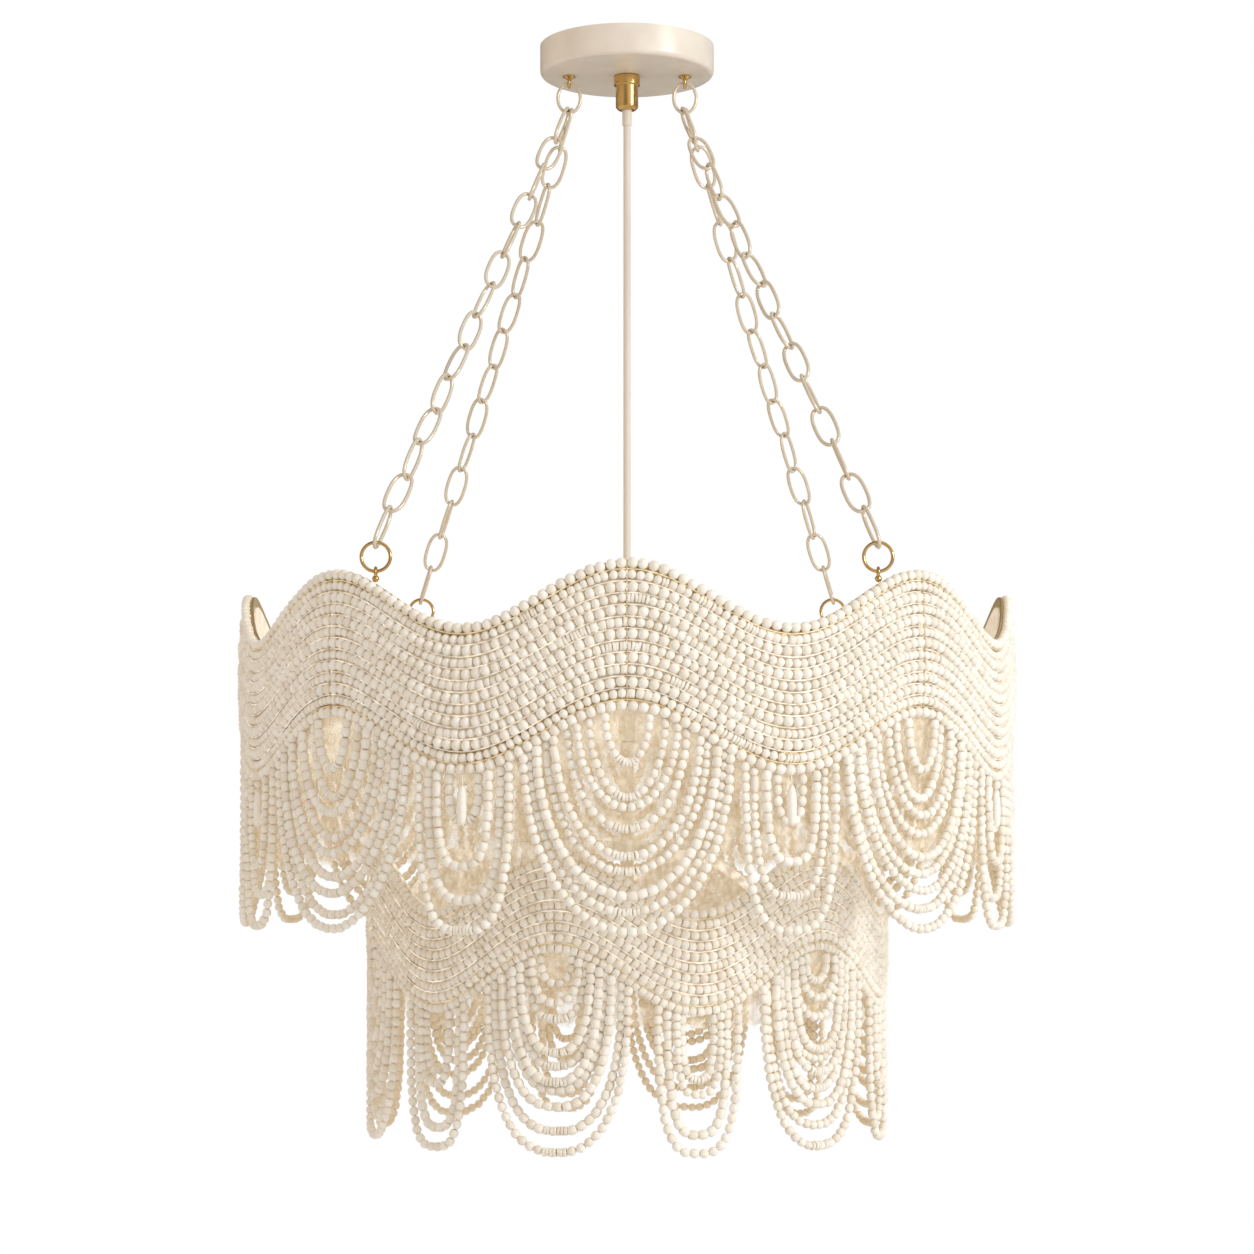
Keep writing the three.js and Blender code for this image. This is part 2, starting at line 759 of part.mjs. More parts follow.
// A chain from the ring wire at its top to the ring wire at its foot. The first link and the
// last link face along X, as the rings' wires do there, and the links between turn evenly.
function chain(topWire, footWire) {
  const along = footWire.clone().sub(topWire).normalize();
  const topReach = topRingWireRadius + linkWireRadius + topRingPlay;
  const footReach = lowerRingWireRadius + linkWireRadius + gap;
  const length = footWire.distanceTo(topWire) + topReach + footReach;
  const overlap = 2 * linkWireRadius - linkBite;
  const linkLength = (length + (linkCount - 1) * overlap) / linkCount;
  const face = new THREE.Vector3(1, 0, 0);
  face.addScaledVector(along, -face.dot(along)).normalize();
  const turnPerLink = Math.PI / 2 * (linkCount - 2) / (linkCount - 1);
  return join(Array.from({ length: linkCount }, (_, link) => {
    const depth = -topReach + linkLength / 2 + link * (linkLength - overlap);
    const normal = face.clone().applyAxisAngle(along, link * turnPerLink);
    return chainLink(topWire.clone().addScaledVector(along, depth), along, normal, linkLength);
  }));
}

// One oval link: two straight sides and two half rounds, of a four-sided wire.
function chainLink(centre, along, normal, length) {
  const side = along.clone().cross(normal);
  const straight = length / 2 - linkHalfWidth * Math.cos(Math.PI / linkArcSteps / 2);
  const sections = [];
  for (const way of [1, -1]) {
    for (let step = 0; step <= linkArcSteps; step += 1) {
      const angle = Math.PI * step / linkArcSteps;
      const outward = side.clone().multiplyScalar(way * Math.cos(angle))
        .addScaledVector(along, way * Math.sin(angle));
      const place = centre.clone().addScaledVector(along, way * straight)
        .addScaledVector(outward, linkHalfWidth);
      sections.push([
        place.clone().addScaledVector(outward, linkWireRadius),
        place.clone().addScaledVector(normal, linkWireRadius),
        place.clone().addScaledVector(outward, -linkWireRadius),
        place.clone().addScaledVector(normal, -linkWireRadius),
      ]);
    }
  }
  return loft(sections, true);
}

const lowerRing = () => wireRing(lowerRingRadius, lowerRingWireRadius, ringWireSides);
const chainTopZ = topRingCentreZ - topRingHalfHeight;
const chainFootZ = lowerRingCentreZ + lowerRingRadius;
const chainPlay = linkWireRadius + gap / 2;

for (const [endWord, endWay] of [["front", -1], ["back", 1]]) {
  for (const [sideWord, sideWay] of [["left", -1], ["right", 1]]) {
    const x = sideWay * Math.abs(lugFoot.x);
    const y = endWay * Math.abs(lugFoot.y);
    add(`${endWord}_${sideWord}_lug`, lug(), brass).position.set(x, y, lugBallZ);
    add(`${endWord}_${sideWord}_ring`, lowerRing(), brass).position.set(x, y, lowerRingCentreZ);
    const topWire = new THREE.Vector3(sideWay * hangerX + endWay * chainPlay, 0, chainTopZ);
    const footWire = new THREE.Vector3(x, y, chainFootZ);
    add(`${endWord}_${sideWord}_chain`, chain(topWire, footWire), creamWire);
  }
}

// Stem and spiders. The rods are level, and each ends in a pad on the liner at a crest.
function spider(tier, hubDepth, boreRadius, azimuths) {
  const hubTop = -hubDepth + hubThickness / 2;
  const hub = turned([
    [boreRadius, hubTop - hubThickness],
    [hubRadius, hubTop - hubThickness],
    [hubRadius, hubTop],
    [boreRadius, hubTop],
  ], fineSides, true);
  const padFace = linerInside(tier) - rodPadRadius * Math.tan(stepOf(tier) / 2) - gap;
  const at = (radius, azimuth) => atAzimuth(radius, azimuth, -hubDepth);
  const rods = azimuths.flatMap((azimuth) => [
    bar(at((boreRadius + hubRadius) / 2, azimuth), at(padFace, azimuth), spiderRodRadius, barSides),
    bar(at(padFace - rodPadThickness, azimuth), at(padFace, azimuth), rodPadRadius, barSides),
  ]);
  return join([hub, ...rods]);
}

const upperHubTop = -upperHubDepth + hubThickness / 2;
const upperStemTop = upperHubTop + upperStemRise;
const lowerHubFoot = -lowerHubDepth - hubThickness / 2;
const lowerStemFoot = lowerHubFoot - stemBelowHub;
const clusterHubDepth = stemJointDepth + clusterDrop;
const clusterHubFoot = -clusterHubDepth - clusterHubThickness / 2;

const upperStem = () => turned([
  [upperStemBore, -stemJointDepth],
  [upperStemRadius, -stemJointDepth],
  [upperStemRadius, upperStemTop],
  [upperStemBore, upperStemTop],
], coarseSides, true);

const stemBush = () => turned([
  [upperStemRadius + gap, upperHubTop + gap],
  [bushRadius, upperHubTop + gap],
  [bushRadius, upperHubTop + gap + bushFlangeHeight],
  [bushTopRadius, upperHubTop + gap + bushHeight],
  [cordRadius + cordPlay, upperHubTop + gap + bushHeight],
  [cordRadius + cordPlay, upperStemTop + gap],
  [upperStemRadius + gap, upperStemTop + gap],
], coarseSides, true);

const lowerStem = () => turned([
  [0, lowerStemFoot],
  [lowerStemRadius, lowerStemFoot],
  [lowerStemRadius, clusterHubFoot - gap - collarThickness],
  [collarRadius, clusterHubFoot - gap - collarThickness],
  [collarRadius, clusterHubFoot - gap],
  [lowerStemRadius, clusterHubFoot - gap],
  [lowerStemRadius, -stemJointDepth - gap],
  [upperStemBore - gap, -stemJointDepth - gap],
  [upperStemBore - gap, -stemJointDepth + stemSpigotLength],
  [0, -stemJointDepth + stemSpigotLength],
], coarseSides);

function finialNut() {
  const top = lowerHubFoot - gap;
  const boreEnd = lowerStemFoot - gap;
  const ballCentre = boreEnd - finialSkin;
  return turned([
    [0, ballCentre - finialBallRadius],
    [finialBallRadius * Math.SQRT1_2, ballCentre - finialBallRadius * Math.SQRT1_2],
    [finialBallRadius, ballCentre],
    [lowerStemRadius + finialSkin, boreEnd],
    [lowerStemRadius + finialSkin, top - finialFlangeThickness],
    [finialFlangeRadius, top - finialFlangeThickness],
    [finialFlangeRadius, top],
    [lowerStemRadius + gap, top],
    [lowerStemRadius + gap, boreEnd],
    [0, boreEnd],
  ], coarseSides);
}

// The upper rods run to every second crest, starting beside the front.
const evenly = (count, first) => Array.from({ length: count }, (_, rod) => first + turn * rod / count);
const upperRods = evenly(upperRodCount, upperTier.firstCrest + turn / upperTier.waves);
const lowerRods = evenly(lowerRodCount, lowerTier.firstCrest);
add("upper_spider", spider(upperTier, upperHubDepth, upperStemRadius + gap, upperRods), creamPaint);
add("lower_spider", spider(lowerTier, lowerHubDepth, lowerStemRadius + gap, lowerRods), creamPaint);
add("upper_stem_tube", upperStem(), candlePaint);
add("cord_bush", stemBush(), brass);
add("lower_stem_tube", lowerStem(), candlePaint);
add("finial_nut", finialNut(), brass);

// Lamp cluster. Each lampholder stands in a cup at an arm's end, in a candle sleeve, and
// holds a bulb's screw cap.
const cupTop = -clusterHubDepth + cupThickness / 2;
const holderTop = cupTop + holderHeight;
const holderBoreFoot = holderTop - holderBoreDepth;
const holderBore = bulbCapRadius + bulbCapPlay;
const lampAzimuth = (lamp) => turn * (lamp + 0.5) / lampCount;

function lampCluster() {
  const hub = turned([
    [lowerStemRadius + gap, clusterHubFoot],
    [clusterHubRadius, clusterHubFoot],
    [clusterHubRadius, clusterHubFoot + clusterHubThickness],
    [lowerStemRadius + gap, clusterHubFoot + clusterHubThickness],
  ], fineSides, true);
  const lamps = Array.from({ length: lampCount }, (_, lamp) => {
    const azimuth = lampAzimuth(lamp);
    const place = atAzimuth(lampCircleRadius, azimuth, 0);
    const holder = turned([
      [0, cupTop - cupThickness],
      [cupRadius, cupTop - cupThickness],
      [cupRadius, cupTop],
      [holderRadius, cupTop],
      [holderRadius, holderTop],
      [holderBore, holderTop],
      [holderBore, holderBoreFoot],
      [0, holderBoreFoot],
    ], coarseSides).translate(place.x, place.y, 0);
    const arm = bar(
      atAzimuth((lowerStemRadius + clusterHubRadius) / 2, azimuth, -clusterHubDepth),
      atAzimuth(lampCircleRadius - cupRadius / 2, azimuth, -clusterHubDepth),
      clusterArmRadius,
      barSides,
    );
    return [holder, arm];
  });
  return join([hub, ...lamps.flat()]);
}

const candleSleeve = () => turned([
  [holderRadius + gap, cupTop + gap],
  [candleRadius, cupTop + gap],
  [candleRadius, cupTop + gap + candleHeight],
  [holderRadius + gap, cupTop + gap + candleHeight],
], coarseSides, true);

function bulb() {
  const foot = holderBoreFoot + gap;
  const neckZ = cupTop + gap + candleHeight;
  const glassLength = bulbLength - bulbNeckHeight;
  const glass = bulbHeightShares.map((heightShare, place) =>
    [bulbRadiusShares[place] * bulbRadius, neckZ + heightShare * glassLength]);
  return turned([
    [0, foot],
    [bulbCapRadius, foot],
    [bulbCapRadius, neckZ - bulbNeckHeight],
    [bulbNeckRadius, neckZ],
    ...glass,
    [0, neckZ + glassLength],
  ], coarseSides);
}

add("lamp_cluster", lampCluster(), creamPaint);
for (let lamp = 0; lamp < lampCount; lamp += 1) {
  const place = atAzimuth(lampCircleRadius, lampAzimuth(lamp), 0);
  add(`candle_sleeve_${lamp + 1}`, candleSleeve(), candlePaint).position.copy(place);
  add(`bulb_${lamp + 1}`, bulb(), bulbGlass).position.copy(place);
}

export default chandelier;
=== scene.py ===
import json
from collections import defaultdict
from dataclasses import dataclass
from math import cos, pi, radians, sin

import bpy
import numpy as np
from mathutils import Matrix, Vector


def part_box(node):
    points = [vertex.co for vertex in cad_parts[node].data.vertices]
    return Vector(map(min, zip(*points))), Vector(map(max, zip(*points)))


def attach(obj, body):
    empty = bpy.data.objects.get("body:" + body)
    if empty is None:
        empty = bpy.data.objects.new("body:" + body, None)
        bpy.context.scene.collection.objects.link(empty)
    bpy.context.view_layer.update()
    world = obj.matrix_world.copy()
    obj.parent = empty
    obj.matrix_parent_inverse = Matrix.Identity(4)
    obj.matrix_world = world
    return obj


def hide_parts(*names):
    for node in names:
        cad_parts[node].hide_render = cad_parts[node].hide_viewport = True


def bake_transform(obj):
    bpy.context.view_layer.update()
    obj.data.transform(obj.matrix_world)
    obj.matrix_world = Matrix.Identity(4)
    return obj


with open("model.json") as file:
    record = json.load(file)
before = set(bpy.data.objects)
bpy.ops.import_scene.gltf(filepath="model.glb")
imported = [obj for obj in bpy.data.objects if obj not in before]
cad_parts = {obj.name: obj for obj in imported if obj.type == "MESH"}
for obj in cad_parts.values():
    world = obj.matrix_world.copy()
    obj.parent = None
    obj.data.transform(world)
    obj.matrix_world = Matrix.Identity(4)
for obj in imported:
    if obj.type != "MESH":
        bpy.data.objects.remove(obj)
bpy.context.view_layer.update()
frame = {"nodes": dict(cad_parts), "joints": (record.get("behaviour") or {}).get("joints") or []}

TURN = 2 * pi
UP = np.array([0.0, 0.0, 1.0])
ACROSS = np.array([1.0, 0.0, 0.0])
BACK = np.array([0.0, 1.0, 0.0])


# Sizes of a tier of beads. Heights belong to the wave's middle level, and a crest stands
# wave_height above it. The first crest and the first fringe sector are azimuths.
@dataclass
class Tier:
    word: str
    radius: float
    bulge: float
    rows: int
    pitch: float
    top: float
    waves: int
    wave_height: float
    crest: float
    sector: float
    wire_outset: float
    liner_sheer_share: float


UPPER = Tier(
    word="upper", radius=0.312, bulge=0.0025, rows=13, pitch=0.0085, top=-0.484,
    waves=8, wave_height=0.0225, crest=0.0, sector=radians(-15),
    wire_outset=0.0005, liner_sheer_share=0)
LOWER = Tier(
    word="lower", radius=0.2085, bulge=0.0015, rows=10, pitch=0.008, top=-0.690,
    waves=6, wave_height=0.0235, crest=radians(-15), sector=radians(-32),
    wire_outset=0.0013, liner_sheer_share=0.6)


# A kind of bead: its profile, length along the thread and radius.
@dataclass
class Bead:
    profile: str
    length: float
    radius: float


ROUND = Bead("round", 0.0077, 0.0041)
SMALL_ROUND = Bead("round", 0.0064, 0.0036)
BARREL = Bead("barrel", 0.0060, 0.0036)
CYLINDER = Bead("barrel", 0.0048, 0.0034)
DISC = Bead("disc", 0.0026, 0.0035)
TUBE = Bead("barrel", 0.0120, 0.0034)
LOWER_ROUND = Bead("round", 0.0070, 0.0038)
LOWER_BARREL = Bead("barrel", 0.0058, 0.0035)
STRAND_ROUND = Bead("round", 0.0072, 0.0036)
STRAND_OVAL = Bead("oval", 0.0074, 0.0037)
STRAND_SMALL = Bead("round", 0.0064, 0.0034)
DROP = Bead("drop", 0.0300, 0.0037)
KNOT = Bead("round", 0.0018, 0.0009)


# A group of nested loops. The wave share is 0 at a crest and a half at a trough. A fullness of
# 2 gives half ellipses, and a higher one squarer loops.
@dataclass
class Loops:
    wave_share: float
    fullness: float
    widths: tuple
    depths: tuple
    has_drop: bool = False


UPPER_GROUPS = (
    Loops(
        wave_share=0, fullness=2.0,
        widths=(0.0315, 0.054, 0.0725, 0.0895, 0.105, 0.117, 0.130, 0.141, 0.149),
        depths=(0.606, 0.6275, 0.638, 0.655, 0.6695, 0.682, 0.697, 0.710, 0.7237),
    ),
    Loops(
        wave_share=0.5, fullness=3.2, widths=(0.0225, 0.040, 0.056, 0.072),
        depths=(0.646, 0.676, 0.701, 0.7235), has_drop=True,
    ),
)
LOWER_GROUPS = (
    Loops(
        wave_share=0, fullness=2.5,
        widths=(0.024, 0.0385, 0.046, 0.054, 0.061, 0.0685, 0.077, 0.0855, 0.100, 0.110),
        depths=(0.763, 0.778, 0.791, 0.814, 0.824, 0.834, 0.845, 0.857, 0.8735, 0.8888),
    ),
    Loops(
        wave_share=0.5, fullness=3.2, widths=(0.0255, 0.034, 0.048, 0.062),
        depths=(0.834, 0.8445, 0.8745, 0.8896),
    ),
)

# How beads lie: gap beside a rib, play between neighbours, and how far they stray. The rows
# lie in by an allowance, so that a bead that strays stays within the tier.
RIB_CLEARANCE = 0.0002
ROW_ALLOWANCE = 0.0006
MIXED_ROW_INSET = 0.0008
BEAD_FILL_SHARE = 1.02
SIZE_SPREAD_SHARE = 0.03
LARGEST_SIZE_SHARE = 1.02
PLACE_SPREAD = 0.00016
TILT_SPREAD = radians(5)
ROW_WOBBLE = 0.00025
WOBBLE_TURNS = 23
WOBBLE_STEP = 2.4
DEPTH_SPREAD = 0.0018
WIDTH_SPREAD = 0.0014
STRAND_STAGGER = 0.0028
THREAD_RADIUS = 0.00045
DROP_THREAD_LENGTH = 0.0065
RUN_SAMPLES = 60
STRAND_SAMPLES = 120

# Which beads follow each other. A mixed row is made of short runs of like beads, and each
# pair of run counts is the least count and the first one that is too many. A tube takes the
# place of two beads of a strand.
MIXED_KINDS = (SMALL_ROUND, BARREL, CYLINDER, DISC)
MIXED_SHARES = (0.42, 0.26, 0.2, 0.12)
MIXED_RUN_COUNTS = (2, 7)
LOWER_BARREL_SHARE = 0.8
LOWER_RUN_COUNTS = (3, 9)
STRAND_KINDS = (STRAND_OVAL, STRAND_ROUND, STRAND_SMALL, STRAND_OVAL)
DISC_RUN = 0.020
DISC_RUN_SHARE = 0.4
TUBE_SHARE = 0.22
TUBE_BEADS = 2
TUBE_LEAST_COUNT = 7
DROP_TONES = (0.6, 1)
ROW_SEED = 100

# Wires, rails and liner.
STEPS_PER_WAVE = 24
WIRE_SIDES = 6
WIRE_RADIUS = 0.0005
HEADER_WIRE_RADIUS = 0.0004
EDGE_WIRE_OUTSET = 0.0006
ROW_WIRE_LEAN = 0.0005
ROW_WIRE_WANDER = 0.0004
WANDER_TURNS = 11
RIB_WIRE_INSET = 0.0008
KNOT_OUTSET = 0.0008
RAIL_THICKNESS = 0.0022
RAIL_HEIGHT = 0.010
RAIL_ABOVE_ROW = 0.0025
RIB_WIDTH = 0.006
LINER_THICKNESS = 0.0015
LINER_BELOW_RAIL = 0.0085
LINER_STEPS = 10
VEIL_FADE_STEPS = 2
SEAT_GAP = 0.0003

# Chains and lugs.
LINK_COUNT = 14
LINK_WIRE_RADIUS = 0.0014
LINK_HALF_WIDTH = 0.008
LINK_BITE = 0.0006
LINK_FULLNESS = 2.6
LINK_STEPS = 44
LINK_SIDES = 14
WEAR_SHARPNESS = 8
LUG_BALL_RADIUS = 0.0026
LUG_EYE_RADIUS = 0.0032
LUG_EYE_WIRE_RADIUS = 0.0011

# Canopy, hanger eyes, cord grip, sleeve and cord. The flare is a run of radii up the waist.
CANOPY_WALL = 0.0012
CANOPY_EDGE_RADIUS = 0.0045
FLANGE_THICKNESS = 0.0016
FLANGE_FLARE = (0.0020, 0.0026, 0.0030, 0.0037)
SHANK_RADIUS = 0.0025
EYE_RADIUS = 0.0036
EYE_WIRE_RADIUS = 0.0013
GRIP_COLLAR_HEIGHT = 0.008
GRIP_BODY_RADIUS = 0.0093
GRIP_MOUTH_RADIUS = 0.0049
GRIP_LIP = 0.0024
GRIP_PIVOT_RISE = 0.004
NECK_RADIUS = 0.005
SKIRT_RADIUS = 0.00395
SKIRT_HEM = 0.0006
SKIRT_BEVEL = 0.0004
CORD_DIP = 0.004

# Stem, bush and finial. A turned solid starts this far from its axis.
AXIS_GAP = 0.0003
EDGE_RADIUS = 0.0006
BUSH_SHOULDER = 0.006
BUSH_TIP_RADIUS = 0.006
BUSH_PLAY = 0.00065
UPPER_STEM_BORE = 0.0045
LOWER_STEM_RADIUS = 0.0055
SPIGOT_RADIUS = 0.0042
STEM_COLLAR_HEIGHT = 0.003
FINIAL_BALL_RADIUS = 0.0065
FINIAL_NECK_RADIUS = 0.0058
FINIAL_BODY_RADIUS = 0.0075
FINIAL_BEVEL = 0.001
FINIAL_BODY_DEPTH = 0.004
FINIAL_RIM_HEIGHT = 0.0036

# Spiders and lamps. Holder and socket depths are below the top of the candle sleeve.
UPPER_HUB_BORE = 0.0073
LOWER_HUB_BORE = 0.0058
HUB_RADIUS = 0.016
HUB_HALF = 0.004
ROD_START = 0.012
ROD_END_GAP = 0.0007
ROD_RADIUS = 0.0025
PAD_RADIUS = 0.006
PAD_THICKNESS = 0.002
LAMPS = range(1, 5)
LAMP_HUB_RADIUS = 0.018
LAMP_HUB_HALF = 0.005
HUB_BELOW_CANDLE = 0.003
ARM_START = 0.0115
ARM_END_GAP = 0.006
ARM_RADIUS = 0.0028
CUP_RADIUS = 0.013
CUP_FOOT_RADIUS = 0.0085
CUP_DEPTH = 0.006
CUP_LIP = 0.001
HOLDER_RADIUS = 0.0092
HOLDER_DEPTH = 0.004
SOCKET_RADIUS = 0.0063
SOCKET_DEPTH = 0.024
CANDLE_BORE = 0.0095
CAP_RADIUS = 0.0057
CAP_DEPTH = 0.004
GLASS_NECK_RADIUS = 0.0075


# Rings of a bead along its thread: share of its length from the middle, share of its radius.
def mirrored(*rings):
    """A bead that is alike at both ends, from the rings of one half, end first."""
    return np.array([(-reach, size) for reach, size in rings] + [(0, 1), *rings[::-1]])


PROFILE_SHARES = {
    "round": mirrored((0.49, 0.26), (0.43, 0.55), (0.25, 0.87)),
    "barrel": mirrored((0.5, 0.52), (0.45, 0.78), (0.31, 0.95)),
    "oval": mirrored((0.5, 0.56), (0.43, 0.76), (0.25, 0.94)),
    "disc": mirrored((0.5, 0.72), (0.34, 0.95)),
    "drop": np.array([
        [-0.5, 0.24], [-0.47, 0.52], [-0.40, 0.78], [-0.25, 0.97], [0.05, 1], [0.3, 0.86],
        [0.42, 0.62], [0.48, 0.4], [0.5, 0.2],
    ]),
}
BEAD_SIDES = 10

# Half of a bulb's outline over its neck: share of the glass's height, share of its radius.
BULB_SHARES = np.array([
    [0.12, 0.72], [0.24, 0.93], [0.36, 1.0], [0.5, 0.93], [0.65, 0.74], [0.78, 0.5], [0.9, 0.25],
    [0.97, 0.1], [1.0, 0.02],
])

# An edge is shaded sharp from this angle on. Its rounding takes at most a side's length over
# SIDES_PER_CORNER. A bead with its thread steeper than STEEP takes its sides from another axis.
SHARP_ANGLE = radians(40)
SIDES_PER_CORNER = 2.2
STEEP = 0.9


def unit(vectors):
    return vectors / np.linalg.norm(vectors, axis=-1, keepdims=True)


def around(azimuth, radius, z):
    """Points at an azimuth, a radius and a height."""
    azimuth, radius, z = np.broadcast_arrays(azimuth, radius, z)
    return np.stack([radius * np.sin(azimuth), -radius * np.cos(azimuth), z], axis=-1)


def grid_faces(rows, columns, closed_rows):
    """Quads over rows of points, where each row closes on itself."""
    spans = rows if closed_rows else rows - 1
    row, column = np.meshgrid(np.arange(spans), np.arange(columns), indexing="ij")
    next_row = (row + 1) % rows
    next_column = (column + 1) % columns
    quads = [row * columns + column, row * columns + next_column,
             next_row * columns + next_column, next_row * columns + column]
    return np.stack(quads, axis=-1).reshape(-1, 4)


class Shape:
    """Vertices and polygons gathered for one mesh. Each vertex keeps a tone, which differs
    from bead to bead, a mark, which says where a surface is worn or near a bead's bore,
    where beads also get painted shade, and whether it faces the inside of its tier, where
    beads get a painted warm shade."""

    def __init__(self):
        self.vertices = []
        self.polygons = []
        self.stored = defaultdict(list)
        self.count = 0
        self.beads = defaultdict(list)

    def add(self, vertices, polygons, tone=0.5, mark=0.0, inner=0.0):
        vertices = vertices.reshape(-1, 3)
        self.vertices.append(vertices)
        self.polygons += [polygon + self.count for polygon in polygons]
        for label, value in (("tone", tone), ("mark", mark), ("inner", inner)):
            self.stored[label].append(np.broadcast_to(value, len(vertices)))
        self.count += len(vertices)

    def add_rings(self, rings, closed=False, tone=0.5, mark=0.0):
        """A skin over rings of points. An open run of rings is capped."""
        count, sides = rings.shape[:2]
        polygons = [grid_faces(count, sides, closed)]
        if not closed:
            polygons.append(np.arange(sides)[::-1][None])
            polygons.append(np.arange(sides)[None] + (count - 1) * sides)
        self.add(rings, polygons, tone, mark)

    def add_beads(self):
        """Turns the gathered beads into vertices and polygons."""
        angle = TURN * np.arange(BEAD_SIDES) / BEAD_SIDES
        for profile, rows in self.beads.items():
            shares = PROFILE_SHARES[profile]
            centre, along, length, radius, tone = (np.array(column) for column in zip(*rows))
            helper = np.where(np.abs(along[:, 2:]) > STEEP, ACROSS, UP)
            across = unit(np.cross(helper, along))
            normal = np.cross(along, across)
            circle = (across[:, None] * np.cos(angle)[:, None]
                      + normal[:, None] * np.sin(angle)[:, None])
            reach = shares[:, 0] * length[:, None]
            spread = shares[:, 1] * radius[:, None]
            rings = (centre[:, None, None] + reach[..., None, None] * along[:, None, None]
                     + spread[..., None, None] * circle[:, None])
            count, levels = reach.shape
            size = levels * BEAD_SIDES
            first = np.arange(count)[:, None, None] * size
            foot = np.arange(BEAD_SIDES)[::-1]
            polygons = [
                (grid_faces(levels, BEAD_SIDES, False)[None] + first).reshape(-1, 4),
                (foot[None, None] + first).reshape(-1, BEAD_SIDES),
                (foot[::-1][None, None] + size - BEAD_SIDES + first).reshape(-1, BEAD_SIDES),
            ]
            # The mark rises towards each bore. There the bead is bare wood and gets painted shade
            # where neighbouring beads meet.
            end = np.abs(shares[:, 0]) / np.abs(shares[:, 0]).max()
            marks = np.broadcast_to(end[None, :, None], (count, levels, BEAD_SIDES)).ravel()
            # How far each point faces the inside of the tier. Those sides get a painted warm shade.
            outward = unit(centre[:, None, None, :2])
            inner_shade_mask = -(unit(rings - centre[:, None, None])[..., :2] * outward).sum(axis=-1)
            self.add(rings, polygons, np.repeat(tone, size), marks, inner_shade_mask.ravel())
        self.beads.clear()

    def mesh(self, name):
        self.add_beads()
        vertices = np.concatenate(self.vertices)
        loops = np.concatenate([polygon.ravel() for polygon in self.polygons])
        sizes = np.concatenate([np.full(len(p), p.shape[1]) for p in self.polygons])
        starts = np.concatenate([[0], np.cumsum(sizes)[:-1]])
        mesh = bpy.data.meshes.new(name)
        mesh.vertices.add(len(vertices))
        mesh.vertices.foreach_set("co", vertices.astype(np.float32).ravel())
        mesh.loops.add(len(loops))
        mesh.loops.foreach_set("vertex_index", loops.astype(np.int32))
        mesh.polygons.add(len(sizes))
        mesh.polygons.foreach_set("loop_start", starts.astype(np.int32))
        for label, values in self.stored.items():
            attribute = mesh.attributes.new(label, "FLOAT", "POINT")
            attribute.data.foreach_set("value", np.concatenate(values).astype(np.float32))
        mesh.update(calc_edges=True)
        mesh.validate()
        mesh.polygons.foreach_set("use_smooth", np.ones(len(sizes), dtype=bool))
        mesh.set_sharp_from_angle(angle=SHARP_ANGLE)
        return mesh


def skin(rings, closed=True, mark=0.0):
    """A shape of one skin over rings of points."""
    shape = Shape()
    shape.add_rings(rings, closed, mark=mark)
    return shape


def sweep(points, reference, radius, sides, closed=False):
    """Rings of points of a round wire. The reference direction never runs along the wire."""
    points = np.asarray(points, dtype=float)
    if closed:
        along = unit(np.roll(points, -1, axis=0) - np.roll(points, 1, axis=0))
    else:
        along = unit(np.gradient(points, axis=0))
    across = unit(np.cross(np.broadcast_to(reference, points.shape), along))
    normal = np.cross(along, across)
    angle = (TURN * np.arange(sides) / sides)[:, None]
    circle = across[:, None] * np.cos(angle) + normal[:, None] * np.sin(angle)
    radii = np.broadcast_to(radius, len(points))[:, None, None]
    return points[:, None] + radii * circle


def softened(profile, radius, closed=False, steps=3):
    """The profile with its corners rounded. An open profile keeps its two ends."""
    profile = np.asarray(profile, dtype=float)
    count = len(profile)
    points = []
    for place, corner in enumerate(profile):
        if not closed and place in (0, count - 1):
            points.append(corner)
            continue
        before, after = profile[place - 1] - corner, profile[(place + 1) % count] - corner
        near, far = (
            corner + unit(side) * min(radius, np.linalg.norm(side) / SIDES_PER_CORNER)
            for side in (before, after))
        for share in np.linspace(0, 1, steps + 1):
            points.append((1 - share) ** 2 * near + 2 * share * (1 - share) * corner
                          + share ** 2 * far)
    return np.array(points)


def turned(profile, centre=(0, 0), sides=48):
    """Rings of a turned piece from a profile of radius and height that runs upwards."""
    azimuth = TURN * np.arange(sides) / sides
    radius, height = np.asarray(profile, dtype=float).T
    return np.stack([
        centre[0] + radius[:, None] * np.cos(azimuth),
        centre[1] + radius[:, None] * np.sin(azimuth),
        np.broadcast_to(height[:, None], (len(height), sides)),
    ], axis=-1)


def turned_piece(profile, edge_radius=EDGE_RADIUS, centre=(0, 0), closed=True, sides=48):
    """A turned piece with rounded edges."""
    return skin(turned(softened(profile, edge_radius, closed), centre, sides), closed)


def tube_profile(bore, radius, low, high):
    return [(bore, low), (radius, low), (radius, high), (bore, high)]


def oval_ring(centre, across, half_width, half_height, wire_radius, steps, sides):
    """Rings of points of an upright oval ring of round wire."""
    angle = (TURN * np.arange(steps) / steps)[:, None]
    points = centre + half_width * np.cos(angle) * across + half_height * np.sin(angle) * UP
    return sweep(points, np.cross(across, UP), wire_radius, sides, closed=True)


def squarish(values, fullness):
    """Sines or cosines bent so that their round becomes squarer where the fullness is over 2."""
    return np.sign(values) * np.abs(values) ** (2 / fullness)


# Looks.
def rgb(code):
    """A linear colour from a six-digit sRGB code."""
    values = np.array([int(code[place:place + 2], 16) for place in (0, 2, 4)]) / 255
    linear = np.where(values <= 0.04045, values / 12.92, ((values + 0.055) / 1.055) ** 2.4)
    return (*linear.tolist(), 1.0)


